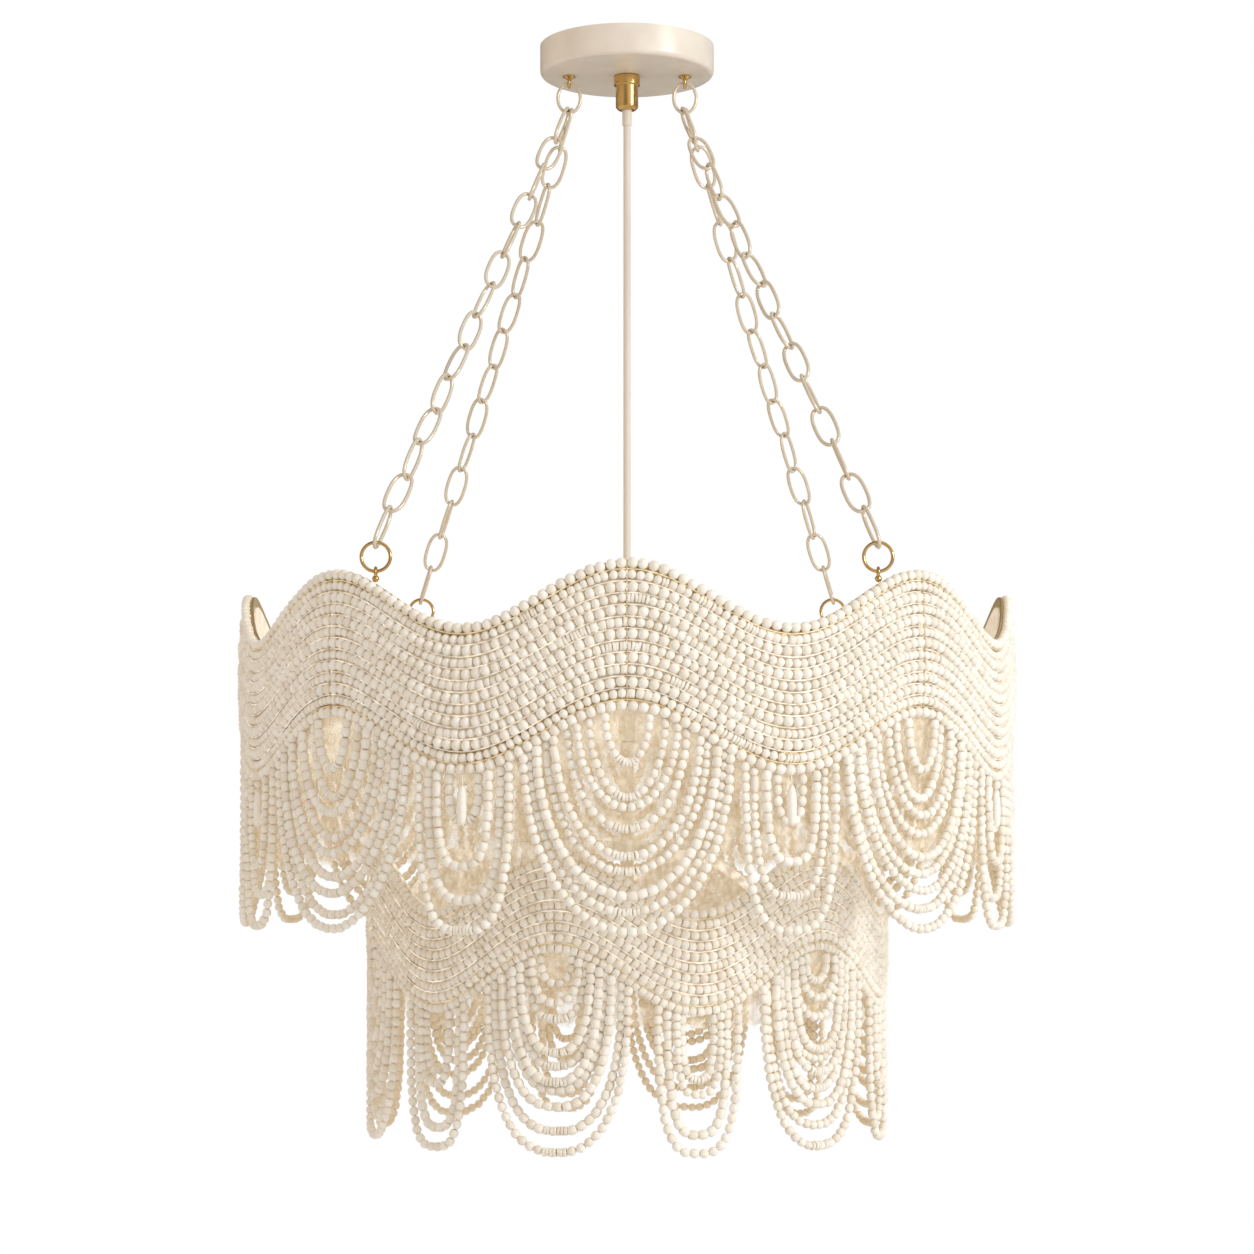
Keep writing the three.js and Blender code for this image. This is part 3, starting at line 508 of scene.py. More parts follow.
def put(tree, socket, value):
    """Sets a socket to a value, or links it to the output that gives one."""
    if isinstance(value, bpy.types.NodeSocket):
        tree.links.new(value, socket)
    else:
        socket.default_value = value


def feed(tree, node, **inputs):
    """Fills a node's inputs by name, with _ for a blank."""
    for name, value in inputs.items():
        put(tree, node.inputs[name.replace("_", " ")], value)


def add_node(tree, kind, settings=None, **inputs):
    node = tree.nodes.new(kind)
    for key, value in (settings or {}).items():
        setattr(node, key, value)
    feed(tree, node, **inputs)
    return node


def combine(tree, operation, first, second):
    node = add_node(tree, "ShaderNodeMath", {"operation": operation})
    for socket, value in zip(node.inputs, (first, second)):
        put(tree, socket, value)
    return node.outputs[0]


def mix(tree, kind, factor, first, second):
    """A number (FLOAT) or a colour (RGBA) mixed from two."""
    node = add_node(tree, "ShaderNodeMix", {"data_type": kind})
    start = 2 if kind == "FLOAT" else 6
    sockets = (node.inputs[0], *node.inputs[start:start + 2])
    for socket, value in zip(sockets, (factor, first, second)):
        put(tree, socket, value)
    return node.outputs[start // 3]


def color_ramp(tree, factor, stops):
    node = add_node(tree, "ShaderNodeValToRGB", Fac=factor)
    while len(node.color_ramp.elements) < len(stops):
        node.color_ramp.elements.new(0.5)
    for element, (place, color) in zip(node.color_ramp.elements, stops):
        element.position = place
        element.color = color
    return node.outputs["Color"]


class Look:
    """A material round one Principled shader, with a few shorthands for its nodes."""

    def __init__(self, name, color, roughness, metallic=0.0, **sockets):
        self.material = bpy.data.materials.new(name)
        self.material.use_nodes = True
        self.tree = self.material.node_tree
        self.feed(Base_Color=rgb(color), Roughness=roughness, Metallic=metallic, **sockets)
        self.place = self.node("ShaderNodeTexCoord").outputs["Object"]

    def feed(self, **sockets):
        feed(self.tree, self.tree.nodes["Principled BSDF"], **sockets)

    def node(self, kind, settings=None, **inputs):
        return add_node(self.tree, kind, settings, **inputs)

    def stored(self, name):
        return self.node("ShaderNodeAttribute", {"attribute_name": name}).outputs["Fac"]

    def noise(self, scale, detail=2.0, stretch=(1, 1, 1)):
        place = self.node("ShaderNodeMapping", Vector=self.place, Scale=stretch).outputs[0]
        noise = self.node("ShaderNodeTexNoise", Vector=place, Scale=scale, Detail=detail)
        return noise.outputs["Fac"]

    def ramp(self, factor, *stops):
        return color_ramp(self.tree, factor, [(place, rgb(color)) for place, color in stops])

    def blend(self, factor, first, second):
        return mix(self.tree, "RGBA", factor, first, second)

    def span(self, factor, low, high, start=0.0, end=1.0):
        return self.node("ShaderNodeMapRange", Value=factor, From_Min=start, From_Max=end,
                         To_Min=low, To_Max=high).outputs["Result"]

    def bump(self, height, strength, distance):
        node = self.node("ShaderNodeBump", Height=height, Strength=strength, Distance=distance)
        self.feed(Normal=node.outputs["Normal"])


def bead_look():
    """Whitewashed wooden beads: matte, chalky, each a little different, bare at the bore.
    Their ends get painted shade where beads meet, and their inward sides a painted warm shade.
    """
    look = Look("whitewashed_beads", "f5efe4", 0.55, Specular_IOR_Level=0.42)
    tone = look.ramp(look.stored("tone"), (0.0, "ede5d9"), (0.3, "f5f0e6"), (1.0, "fbf8f2"))
    wash = look.blend(look.span(look.noise(420, 4), 0, 0.5, 0.4, 0.8), tone, rgb("ebe1cf"))
    # Painted shade: bead ends go darker towards the bore, partly bare wood, partly the shade
    # between touching beads.
    bored = look.blend(look.span(look.stored("mark"), 0.0, 0.6, 0.8, 1.0), wash, rgb("dfcfb3"))
    # Painted warm shade on the sides of beads that face the inside of the tier.
    inside = look.span(look.stored("inner"), 0.0, 0.85, 0.0, 0.7)
    look.feed(Base_Color=look.blend(inside, bored, rgb("efdcb9")),
              Roughness=look.span(look.noise(300, 2), 0.44, 0.62))
    look.bump(look.noise(1400, 3, (1, 1, 2.4)), 0.22, 0.0002)
    return look.material


def painted_look(name, color, shade, roughness, coat):
    """Smooth paint with faint clouding and a fine orange peel."""
    look = Look(name, color, roughness, Coat_Weight=coat, Coat_Roughness=0.25)
    look.feed(Base_Color=look.ramp(look.noise(45, 3), (0.3, shade), (0.7, color)),
              Roughness=look.span(look.noise(160, 2), roughness - 0.05, roughness + 0.06))
    look.bump(look.noise(900, 2), 0.12, 0.00015)
    return look.material


def chain_look():
    """Champagne paint that is worn to brass where the links rub."""
    look = Look("champagne_paint", "e0d4c0", 0.32, 0.3)
    paint = look.ramp(look.noise(60, 2), (0.3, "dccfba"), (0.7, "e5dac7"))
    worn = look.span(look.stored("mark"), 0.0, 1.0, 0.6, 0.95)
    look.feed(Base_Color=look.blend(worn, paint, rgb("bd9858")),
              Metallic=look.span(look.stored("mark"), 0.3, 0.9, 0.6, 0.9),
              Roughness=look.span(look.noise(90, 2), 0.27, 0.34))
    look.bump(look.noise(250, 1), 0.04, 0.0001)
    return look.material


def metal_look(name, color, shade, roughness, grain=(1, 1, 14)):
    """Metal with fine turning marks and a slight tarnish."""
    look = Look(name, color, roughness, 1.0)
    look.feed(Base_Color=look.ramp(look.noise(70, 4), (0.25, shade), (0.6, color)),
              Roughness=look.span(look.noise(500, 2, grain), roughness - 0.05, roughness + 0.1))
    look.bump(look.noise(900, 1, grain), 0.05, 0.0001)
    return look.material


def wire_look(name, color, shade, glow):
    """Lacquered wire with a painted glow in patches, standing in for light from inside the tier."""
    look = Look(name, color, 0.36, 0.1, Emission_Color=rgb(color))
    # Painted glow: the emission strength rises in noisy patches, as glints of light from inside the
    # tier.
    look.feed(Base_Color=look.ramp(look.noise(60, 3), (0.3, shade), (0.7, color)),
              Emission_Strength=look.span(look.noise(130, 2), 0.05, glow, 0.4, 0.65),
              Roughness=look.span(look.noise(300, 2), 0.3, 0.42))
    look.bump(look.noise(900, 1), 0.05, 0.0001)
    return look.material


def liner_look():
    """Warm parchment with a painted glow in place of lamplight from inside. Where its mark is high
    it is a fibrous veil.
    """
    # Painted light: a faint warm emission stands in for the lamps inside, which are not lit.
    look = Look("parchment_liner", "f5eee0", 0.62, Specular_IOR_Level=0.35,
                Emission_Color=rgb("fff2de"), Emission_Strength=0.16)
    fibre = look.ramp(look.noise(200, 6, (1, 1, 0.75)),
                      (0.36, "c9b48e"), (0.5, "e0d2b7"), (0.62, "f8f2e6"))
    plain = look.ramp(look.noise(90, 5), (0.35, "eadfca"), (0.65, "faf5ea"))
    sheer = look.span(look.noise(150, 5, (1, 1, 0.7)), 0.55, 0.88, 0.4, 0.6)
    veil = combine(look.tree, "MULTIPLY", sheer, look.stored("mark"))
    look.feed(Base_Color=look.blend(look.span(look.stored("mark"), 0.2, 1), plain, fibre),
              Roughness=look.span(look.noise(90, 2), 0.55, 0.72), Alpha=look.span(veil, 1, 0))
    look.bump(look.noise(150, 5, (1, 1, 0.4)), 0.6, 0.0012)
    return look.material


def cord_look():
    """Woven cord cover with a fine slanted rib."""
    look = Look("cream_cord", "e6ddd1", 0.6, Sheen_Weight=0.2)
    weave = look.node("ShaderNodeTexWave", {"bands_direction": "DIAGONAL"}, Vector=look.place,
                      Scale=420, Distortion=0.4).outputs["Fac"]
    look.feed(Base_Color=look.ramp(weave, (0.1, "d9cdbd"), (0.6, "e9e1d6")),
              Roughness=look.span(look.noise(300, 2), 0.52, 0.68))
    look.bump(weave, 0.35, 0.0003)
    return look.material


def bulb_look():
    """Frosted glass, a little uneven."""
    look = Look("frosted_glass", "fff6e6", 0.3, Transmission_Weight=0.55, IOR=1.45)
    look.feed(Base_Color=look.ramp(look.noise(40, 2), (0.3, "fff1da"), (0.7, "fffaf0")),
              Roughness=look.span(look.noise(200, 2), 0.24, 0.36))
    look.bump(look.noise(500, 2), 0.05, 0.0001)
    return look.material


BEADS = bead_look()
CANOPY_PAINT = painted_look("pearl_cream_paint", "ebe2d5", "e3d8c9", 0.34, 0.4)
TUBE_PAINT = painted_look("cream_satin_paint", "f2e8d4", "eadcc2", 0.42, 0.1)
CHAIN_PAINT = chain_look()
BRASS = metal_look("polished_brass", "dcb97a", "c79c58", 0.16)
KNOT_BRASS = metal_look("pale_brass_wire", "ecd3a0", "d3b070", 0.28, (1, 1, 1))
RAIL_BRASS = metal_look("satin_brass_sheet", "f0ddb4", "e2c792", 0.44, (1, 1, 6))
# Both wire looks glow a little: painted light, not lamps.
PALE_WIRE = wire_look("champagne_wire", "faf5ec", "e8dac2", 0.45)
GILT_WIRE = wire_look("gilt_wire", "efe0bd", "dcc598", 0.35)
LINER = liner_look()
CORD = cord_look()
BULB_GLASS = bulb_look()
ZINC = metal_look("zinc_plate", "c3c3bf", "acaca8", 0.36)


def add_object(name, data):
    made = bpy.data.objects.new(name, data)
    bpy.context.scene.collection.objects.link(made)
    return made


def piece(name, shape, look, body, slot, *replaced):
    """A piece of the visual model. One without a body is left unattached, and its caller bakes its
    place into the mesh.
    """
    mesh = shape.mesh(name)
    mesh.materials.append(look)
    made = add_object(name, mesh)
    if body:
        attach(made, body)
    if replaced:
        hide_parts(*replaced)
    return made


# Bead rows.
def row_radius(tier, row):
    bulge = tier.bulge * (2 * row / (tier.rows - 1) - 1) ** 2
    return tier.radius - ROW_ALLOWANCE - bulge


def row_height(tier, row):
    return tier.top - row * tier.pitch


def wall(tier, radius, z, azimuth):
    """Points on the wavy wall at a radius and at a height of the wave's middle level."""
    rise = tier.wave_height * np.cos(tier.waves * (azimuth - tier.crest))
    return around(azimuth, radius, z + rise)


class Path:
    """A run of points that beads are strung along."""

    def __init__(self, points):
        self.points = points
        steps = np.linalg.norm(np.diff(points, axis=0), axis=1)
        self.reach = np.concatenate([[0], np.cumsum(steps)])
        self.length = self.reach[-1]

    def at(self, reach):
        columns = [np.interp(reach, self.reach, column) for column in self.points.T]
        return np.stack(columns, axis=-1)

    def along(self, reach, nearby=0.0008):
        return unit(self.at(reach + nearby) - self.at(reach - nearby))


def string(shape, path, kinds, rng):
    """Strings beads on a path, drawn together or apart a little so that they fill it."""
    lengths = np.array([kind.length for kind in kinds])
    lengths = lengths * path.length / lengths.sum()
    reach = np.cumsum(lengths) - lengths / 2
    along = path.along(reach)
    centres = path.at(reach) + rng.normal(0, PLACE_SPREAD, (len(kinds), 3))
    along = unit(along + rng.normal(0, TILT_SPREAD, along.shape))
    sizes = 1 + rng.normal(0, SIZE_SPREAD_SHARE, len(kinds))
    tones = rng.uniform(0, 1, len(kinds))
    for place, kind in enumerate(kinds):
        shape.beads[kind.profile].append((
            centres[place], along[place], lengths[place] * BEAD_FILL_SHARE,
            kind.radius * min(sizes[place], LARGEST_SIZE_SHARE), tones[place],
        ))


def filled(length, choose):
    """Kinds of beads, from repeated choices, that come closest to a length."""
    kinds = []
    total = 0
    while True:
        for kind in choose():
            if total + kind.length / 2 > length:
                return kinds
            kinds.append(kind)
            total += kind.length


def mixed_run(tier, rng):
    """A short run of like beads, as they follow each other in the mixed rows."""
    if tier is LOWER:
        kind = LOWER_BARREL if rng.random() < LOWER_BARREL_SHARE else CYLINDER
        return [kind] * int(rng.integers(*LOWER_RUN_COUNTS))
    kind = MIXED_KINDS[rng.choice(len(MIXED_KINDS), p=MIXED_SHARES)]
    return [kind] * int(rng.integers(*MIXED_RUN_COUNTS))


def row_kinds(tier, row, length, rng):
    """Beads for a length of a row. Odd rows are mixed, and the others have one kind."""
    plain = LOWER_ROUND if tier is LOWER else ROUND
    return filled(length, lambda: mixed_run(tier, rng) if row % 2 else [plain])


def bead_row(tier, row, rng):
    """One row, strung from rib to rib."""
    shape = Shape()
    wave = TURN / tier.waves
    for start in tier.crest + wave * np.arange(tier.waves):
        string_run(shape, tier, row, start, start + wave, True, True, rng)
    return shape


def string_run(shape, tier, row, start, end, rib_at_start, rib_at_end, rng):
    """A stretch of a row, with room for a rib at either end where there is one."""
    radius = row_radius(tier, row)
    clearance = RIB_CLEARANCE / radius
    azimuth = np.linspace(
        start + clearance * rib_at_start, end - clearance * rib_at_end, RUN_SAMPLES)
    wobble = ROW_WOBBLE * np.sin(WOBBLE_TURNS * azimuth + WOBBLE_STEP * row)
    inset = MIXED_ROW_INSET * (row % 2)
    path = Path(wall(tier, radius - inset, row_height(tier, row) + wobble, azimuth))
    string(shape, path, row_kinds(tier, row, path.length, rng), rng)


# Fringe.
def header_point(tier, azimuth):
    """A point of the header row, the last one, which carries the fringe."""
    header = tier.rows - 1
    return wall(tier, row_radius(tier, header), row_height(tier, header), azimuth)


def strand_path(tier, azimuth, width, depth, fullness, outset):
    """The thread of one loop, from the header row down to its depth and back up."""
    radius = row_radius(tier, tier.rows - 1)
    half = width / 2
    top = header_point(tier, azimuth + half / radius)[2] - STRAND_ROUND.radius
    angle = np.linspace(-pi / 2, pi / 2, STRAND_SAMPLES)
    fall = squarish(np.cos(angle), fullness)
    across = half * squarish(np.sin(angle), fullness)
    return Path(around(azimuth + across / radius, radius + outset, top - (top + depth) * fall))


def strand_kinds(length, outermost, rng):
    """Beads of one loop: round or oval, with a run of discs at the foot of some."""
    main = STRAND_ROUND if outermost else STRAND_KINDS[rng.integers(len(STRAND_KINDS))]
    discs = [DISC] * int(DISC_RUN / DISC.length) if rng.random() < DISC_RUN_SHARE else []
    side = (length - len(discs) * DISC.length) / 2
    count = max(1, round(side / main.length))
    near = [main] * count
    if not outermost and rng.random() < TUBE_SHARE and count >= TUBE_LEAST_COUNT:
        near = [main, TUBE, *[main] * (count - 1 - TUBE_BEADS)]
    return near + discs + [main] * count


def fringe(tier, groups, sector):
    """One wave's share of the header row, with the loops under its crest and its trough."""
    rng = np.random.default_rng([tier.waves, sector])
    shape = Shape()
    wave = TURN / tier.waves
    header = tier.rows - 1
    start = tier.sector + sector * wave
    crest = tier.crest + sector * wave
    string_run(shape, tier, header, start, crest, False, True, rng)
    string_run(shape, tier, header, crest, start + wave, True, False, rng)
    for group in groups:
        azimuth = crest + group.wave_share * wave
        for place, (width, depth) in enumerate(zip(group.widths, group.depths)):
            outermost = place == len(group.widths) - 1
            outset = 0 if (len(group.widths) - place) % 2 else -STRAND_STAGGER
            if not outermost:
                depth += rng.normal(0, DEPTH_SPREAD)
                width += rng.normal(0, WIDTH_SPREAD)
            path = strand_path(tier, azimuth, width, depth, group.fullness, outset)
            string(shape, path, strand_kinds(path.length, outermost, rng), rng)
            outward = around(azimuth, 1, 0)
            shape.add_rings(sweep(path.points[::4], outward, THREAD_RADIUS, 4), tone=0.2, mark=0.9)
        if group.has_drop:
            hang_drop(shape, tier, azimuth, rng)
    return shape


def hang_drop(shape, tier, azimuth, rng):
    """A long drop bead on a bare thread, in the middle of a group of loops."""
    top = header_point(tier, azimuth) - UP * ROUND.radius
    foot = top - UP * (DROP_THREAD_LENGTH + DROP.length)
    middle = foot + UP * DROP.length / 2
    thread = np.linspace(top, middle, 4)
    shape.add_rings(sweep(thread, around(azimuth, 1, 0), THREAD_RADIUS, 5), tone=0.6)
    shape.beads[DROP.profile].append(
        (middle, UP, DROP.length, DROP.radius, rng.uniform(*DROP_TONES)))


# Wires, ribs, rails and liner.
def band_inside(tier):
    return tier.radius - tier.bulge - ROUND.radius


def azimuths_of(tier):
    steps = tier.waves * STEPS_PER_WAVE
    return tier.crest + TURN * np.arange(steps) / steps


def crests_of(tier):
    return tier.crest + TURN * np.arange(tier.waves) / tier.waves


def wavy_ring(tier, profile):
    """Rings of points round the wavy wall, from a profile of radius and height."""
    azimuth = azimuths_of(tier)
    return np.stack([wall(tier, radius, height, azimuth) for radius, height in profile], axis=1)


def row_wires(tier):
    """The thin wires that show between the bead rows, more on the left than on the right."""
    shape = Shape()
    azimuth = azimuths_of(tier)
    for row in range(1, tier.rows - 2):
        wander = ROW_WIRE_WANDER * np.sin(WANDER_TURNS * azimuth + WOBBLE_STEP * row)
        outset = tier.wire_outset - ROW_WIRE_LEAN * np.sin(azimuth) + wander
        shape.add_rings(row_wire(tier, row, outset, WIRE_RADIUS), closed=True)
    return shape


def row_wire(tier, row, outset, wire_radius):
    """Rings of points of a wire in the gap below a row."""
    azimuth = azimuths_of(tier)
    radius = (row_radius(tier, row) + row_radius(tier, row + 1)) / 2 + outset
    points = wall(tier, radius, row_height(tier, row) - tier.pitch / 2, azimuth)
    return sweep(points, around(azimuth, 1, 0), wire_radius, WIRE_SIDES, closed=True)


def rib_wires(tier):
    """An upright wire at each crest, seen between the beads, and its knots at the row gaps."""
    wires = Shape()
    knots = Shape()
    rows = np.arange(tier.rows)
    radius = row_radius(tier, rows)
    height = row_height(tier, rows)
    for azimuth in crests_of(tier):
        points = wall(tier, radius - RIB_WIRE_INSET, height, azimuth)
        wires.add_rings(sweep(points, around(azimuth, 1, 0), WIRE_RADIUS, WIRE_SIDES))
        along = around(azimuth + pi / 2, 1, 0)
        gaps = wall(tier, radius[:-1] + KNOT_OUTSET, height[:-1] - tier.pitch / 2, azimuth)
        knots.beads[KNOT.profile] += [
            (place, along, KNOT.length, KNOT.radius, 0.5) for place in gaps]
    return wires, knots


def rails(tier):
    """Two rails of the sheet frame and its ribs, behind the beads."""
    shape = Shape()
    outside = band_inside(tier) - SEAT_GAP
    inside = outside - RAIL_THICKNESS
    top = row_height(tier, 0) + RAIL_ABOVE_ROW
    foot = row_height(tier, tier.rows - 1) + ROUND.radius + SEAT_GAP
    for high in (top, foot + RAIL_HEIGHT):
        low = high - RAIL_HEIGHT
        corners = [(inside, low), (outside, low), (outside, high), (inside, high)]
        shape.add_rings(wavy_ring(tier, softened(corners, RAIL_THICKNESS / 3, True)), closed=True)
    middle = (inside + outside) / 2
    for azimuth in crests_of(tier):
        side = around(azimuth + pi / 2, RIB_WIDTH / 2, 0)
        half = around(azimuth, RAIL_THICKNESS / 3, 0)
        corners = np.stack([-side - half, side - half, side + half, half - side])
        ends = wall(tier, middle, np.array([foot, top]) - RAIL_THICKNESS / 2, azimuth)
        shape.add_rings(ends[:, None] + corners)
    return shape


def liner_inside(tier):
    return band_inside(tier) - 2 * SEAT_GAP - RAIL_THICKNESS - LINER_THICKNESS


def liner(tier):
    """A sheet with a wavy top edge and a level foot. It is a veil below the bead rows."""
    azimuth = azimuths_of(tier)
    inside = liner_inside(tier)
    top = row_height(tier, 0) + RAIL_ABOVE_ROW - LINER_BELOW_RAIL
    band_foot = row_height(tier, tier.rows - 1) + ROUND.radius
    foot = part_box(f"{tier.word}_liner")[0].z
    levels = [wall(tier, inside, level, azimuth)[:, 2] for level in (top, band_foot)]
    for share in np.linspace(0, 1, LINER_STEPS)[1:]:
        levels.append(levels[1] * (1 - share) + foot * share)
    veiled = [tier.liner_sheer_share] * 2 + [1] * (LINER_STEPS - 1 - VEIL_FADE_STEPS)
    veiled += range(1, VEIL_FADE_STEPS + 1)
    radii = np.repeat([inside, inside + LINER_THICKNESS], len(levels))
    rings = np.stack([around(azimuth, radius, level)
                      for radius, level in zip(radii, levels + levels[::-1])], axis=1)
    return skin(rings, mark=np.tile(veiled + veiled[::-1], len(azimuth)))


def make_tier(tier, groups, rail_look):
    """A band of bead rows with its fringes, wires, frame and liner."""
    word = tier.word
    for row in range(tier.rows - 1):
        beads = bead_row(tier, row, np.random.default_rng([tier.waves, ROW_SEED, row]))
        piece(f"{word}_bead_row_{row + 1}", beads, BEADS, "tiers", "beads", f"{word}_bead_band")
    for sector in range(tier.waves):
        name = f"{word}_fringe_{sector + 1}"
        piece(f"{name}_beads", fringe(tier, groups, sector), BEADS, "tiers", "beads", name)
    rim = row_wire(tier, 0, EDGE_WIRE_OUTSET, WIRE_RADIUS)
    header = row_wire(tier, tier.rows - 2, EDGE_WIRE_OUTSET, HEADER_WIRE_RADIUS)
    ribs, knots = rib_wires(tier)
    for name, shape, look in (
        ("row_wires", row_wires(tier), PALE_WIRE),
        ("rim_wire", skin(rim), GILT_WIRE),
        ("header_wire", skin(header), GILT_WIRE),
        ("rib_wires", ribs, PALE_WIRE),
        ("rib_knots", knots, KNOT_BRASS),
    ):
        piece(f"{word}_{name}", shape, look, "tiers", "brass")
    piece(f"{word}_frame_rails", rails(tier), rail_look, "tiers", "brass", f"{word}_frame")
    piece(f"{word}_parchment_liner", liner(tier), LINER, "tiers", "liner", f"{word}_liner")


make_tier(UPPER, UPPER_GROUPS, RAIL_BRASS)
# The lower frame rails take the champagne wire look, with its painted glow.
make_tier(LOWER, LOWER_GROUPS, PALE_WIRE)


# Chains and rings.
def corners_of(node):
    return [np.array(corner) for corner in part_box(node)]


def middle_and_half(node):
    """The middle of a node's CAD box, and half its size."""
    low, high = corners_of(node)
    return (low + high) / 2, (high - low) / 2


def ring_wire(node):
    """A ring's middle, half width, half height and wire radius, from its CAD box."""
    middle, half = middle_and_half(node)
    return middle, half[0] - half[1], half[2] - half[1], half[1]


def link_rings(centre, along, normal, length):
    """An oval link of round wire, its mark rising towards its two rubbed ends."""
    side = np.cross(along, normal)
    angle = (TURN * (np.arange(LINK_STEPS) + 0.5) / LINK_STEPS)[:, None]
    across = squarish(np.cos(angle), LINK_FULLNESS)
    rise = squarish(np.sin(angle), LINK_FULLNESS)
    points = centre + LINK_HALF_WIDTH * across * side + length / 2 * rise * along
    rings = sweep(points, normal, LINK_WIRE_RADIUS, LINK_SIDES, closed=True)
    reach = ((rings - centre) ** 2).sum(axis=-1)
    inner = (reach.max(axis=1, keepdims=True) - reach) / np.ptp(reach, axis=1)[:, None]
    return rings, (np.abs(rise) ** WEAR_SHARPNESS * inner).ravel()


def chain(end_word, side_word):
    """Fourteen links from a top ring to a lower ring. The faces turn evenly down the chain."""
    end_way = 1 if end_word == "back" else -1
    top_middle, _, top_half, top_wire = ring_wire(f"{side_word}_top_ring")
    foot_middle, _, foot_half, foot_wire = ring_wire(f"{end_word}_{side_word}_ring")
    beside = end_way * (LINK_WIRE_RADIUS + SEAT_GAP / 2)
    start = top_middle - UP * top_half + ACROSS * beside
    finish = foot_middle + UP * foot_half
    along = unit(finish - start)
    top_reach = top_wire + LINK_WIRE_RADIUS + SEAT_GAP
    foot_reach = foot_wire + LINK_WIRE_RADIUS + SEAT_GAP
    span = np.linalg.norm(finish - start) + top_reach + foot_reach
    overlap = 2 * LINK_WIRE_RADIUS - LINK_BITE
    length = (span + (LINK_COUNT - 1) * overlap) / LINK_COUNT
    face = unit(ACROSS - along * along[0])
    turn_per_link = pi / 2 * (LINK_COUNT - 2) / (LINK_COUNT - 1)
    shape = Shape()
    for link in range(LINK_COUNT):
        depth = length / 2 - top_reach + link * (length - overlap)
        angle = link * turn_per_link
        normal = face * cos(angle) + np.cross(along, face) * sin(angle)
        rings, marks = link_rings(start + along * depth, along, normal, length)
        shape.add_rings(rings, closed=True, tone=link / LINK_COUNT, mark=marks)
    return shape


def wire_ring(node):
    middle, half_width, half_height, wire = ring_wire(node)
    return skin(oval_ring(middle, ACROSS, half_width, half_height, wire, steps=64, sides=12))


def add_eye(shape, centre, radius, wire_radius, steps, sides):
    """Adds a round eye that is open to the left and the right."""
    rings = oval_ring(centre, BACK, radius, radius, wire_radius, steps, sides)
    shape.add_rings(rings, closed=True)


def lug(node):
    """A small ball on the rim with an eye on top."""
    low, high = corners_of(node)
    x, y = (low[:2] + high[:2]) / 2
    angle = np.radians(np.linspace(-80, 80, 9))
    ball = np.column_stack([np.cos(angle), np.sin(angle)]) * LUG_BALL_RADIUS
    shape = skin(turned(ball + [0, low[2] + LUG_BALL_RADIUS], (x, y), 20), closed=False)
    eye = np.array([x, y, high[2] - LUG_EYE_RADIUS - LUG_EYE_WIRE_RADIUS])
    add_eye(shape, eye, LUG_EYE_RADIUS, LUG_EYE_WIRE_RADIUS, steps=28, sides=10)
    return shape


for end_word in ("front", "back"):
    for side_word in ("left", "right"):
        corner = f"{end_word}_{side_word}"
        piece(f"{corner}_link_chain", chain(end_word, side_word), CHAIN_PAINT,
              f"{side_word}_chains", "chain_paint", f"{corner}_chain")
        piece(f"{corner}_wire_ring", wire_ring(f"{corner}_ring"), BRASS, "tiers", "brass",
              f"{corner}_ring")
        piece(f"{corner}_rim_lug", lug(f"{corner}_lug"), BRASS, "tiers", "brass", f"{corner}_lug")
for side_word in ("left", "right"):
    piece(f"{side_word}_oval_ring", wire_ring(f"{side_word}_top_ring"), CHAIN_PAINT, "top_rings",
          "chain_paint", f"{side_word}_top_ring")


# Canopy and what hangs from it.
def bounds_of(node):
    """The foot, the top and the radius of a node that stands on the middle axis."""
    low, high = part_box(node)
    return low.z, high.z, high.x


def canopy_cup():
    low, high, radius = bounds_of("canopy")
    hole = NECK_RADIUS + SEAT_GAP
    rim = high - SEAT_GAP
    inner = radius - CANOPY_WALL
    floor = low + CANOPY_WALL
    outside = softened([(hole, low), (radius, low), (radius, rim)], CANOPY_EDGE_RADIUS, steps=8)
    inside = softened([(inner, rim), (inner, floor), (hole, floor)],
                      CANOPY_EDGE_RADIUS - CANOPY_WALL, steps=8)
    return skin(turned(np.concatenate([outside, inside]), sides=128))


def hanger_eye(node):
    """A flared flange on a short waist, over a small ring."""
    low, high = corners_of(node)
    x = (low[0] + high[0]) / 2
    flange = (high[0] - low[0]) / 2
    eye_height = flange_top - FLANGE_THICKNESS - EYE_RADIUS
    waist = eye_height + EYE_RADIUS
    levels = (waist - EYE_WIRE_RADIUS, waist - EYE_WIRE_RADIUS / 2, waist,
              waist + FLANGE_THICKNESS / 3)
    profile = [
        *zip(FLANGE_FLARE, levels), (flange, flange_top - FLANGE_THICKNESS / 2),
        (flange, flange_top), (SHANK_RADIUS, flange_top), (SHANK_RADIUS, high[2]),
    ]
    shape = turned_piece(profile, edge_radius=0.0005, centre=(x, 0), closed=False, sides=40)
    eye = np.array([x, 0.0, eye_height])
    add_eye(shape, eye, EYE_RADIUS, EYE_WIRE_RADIUS, steps=40, sides=12)
    return shape


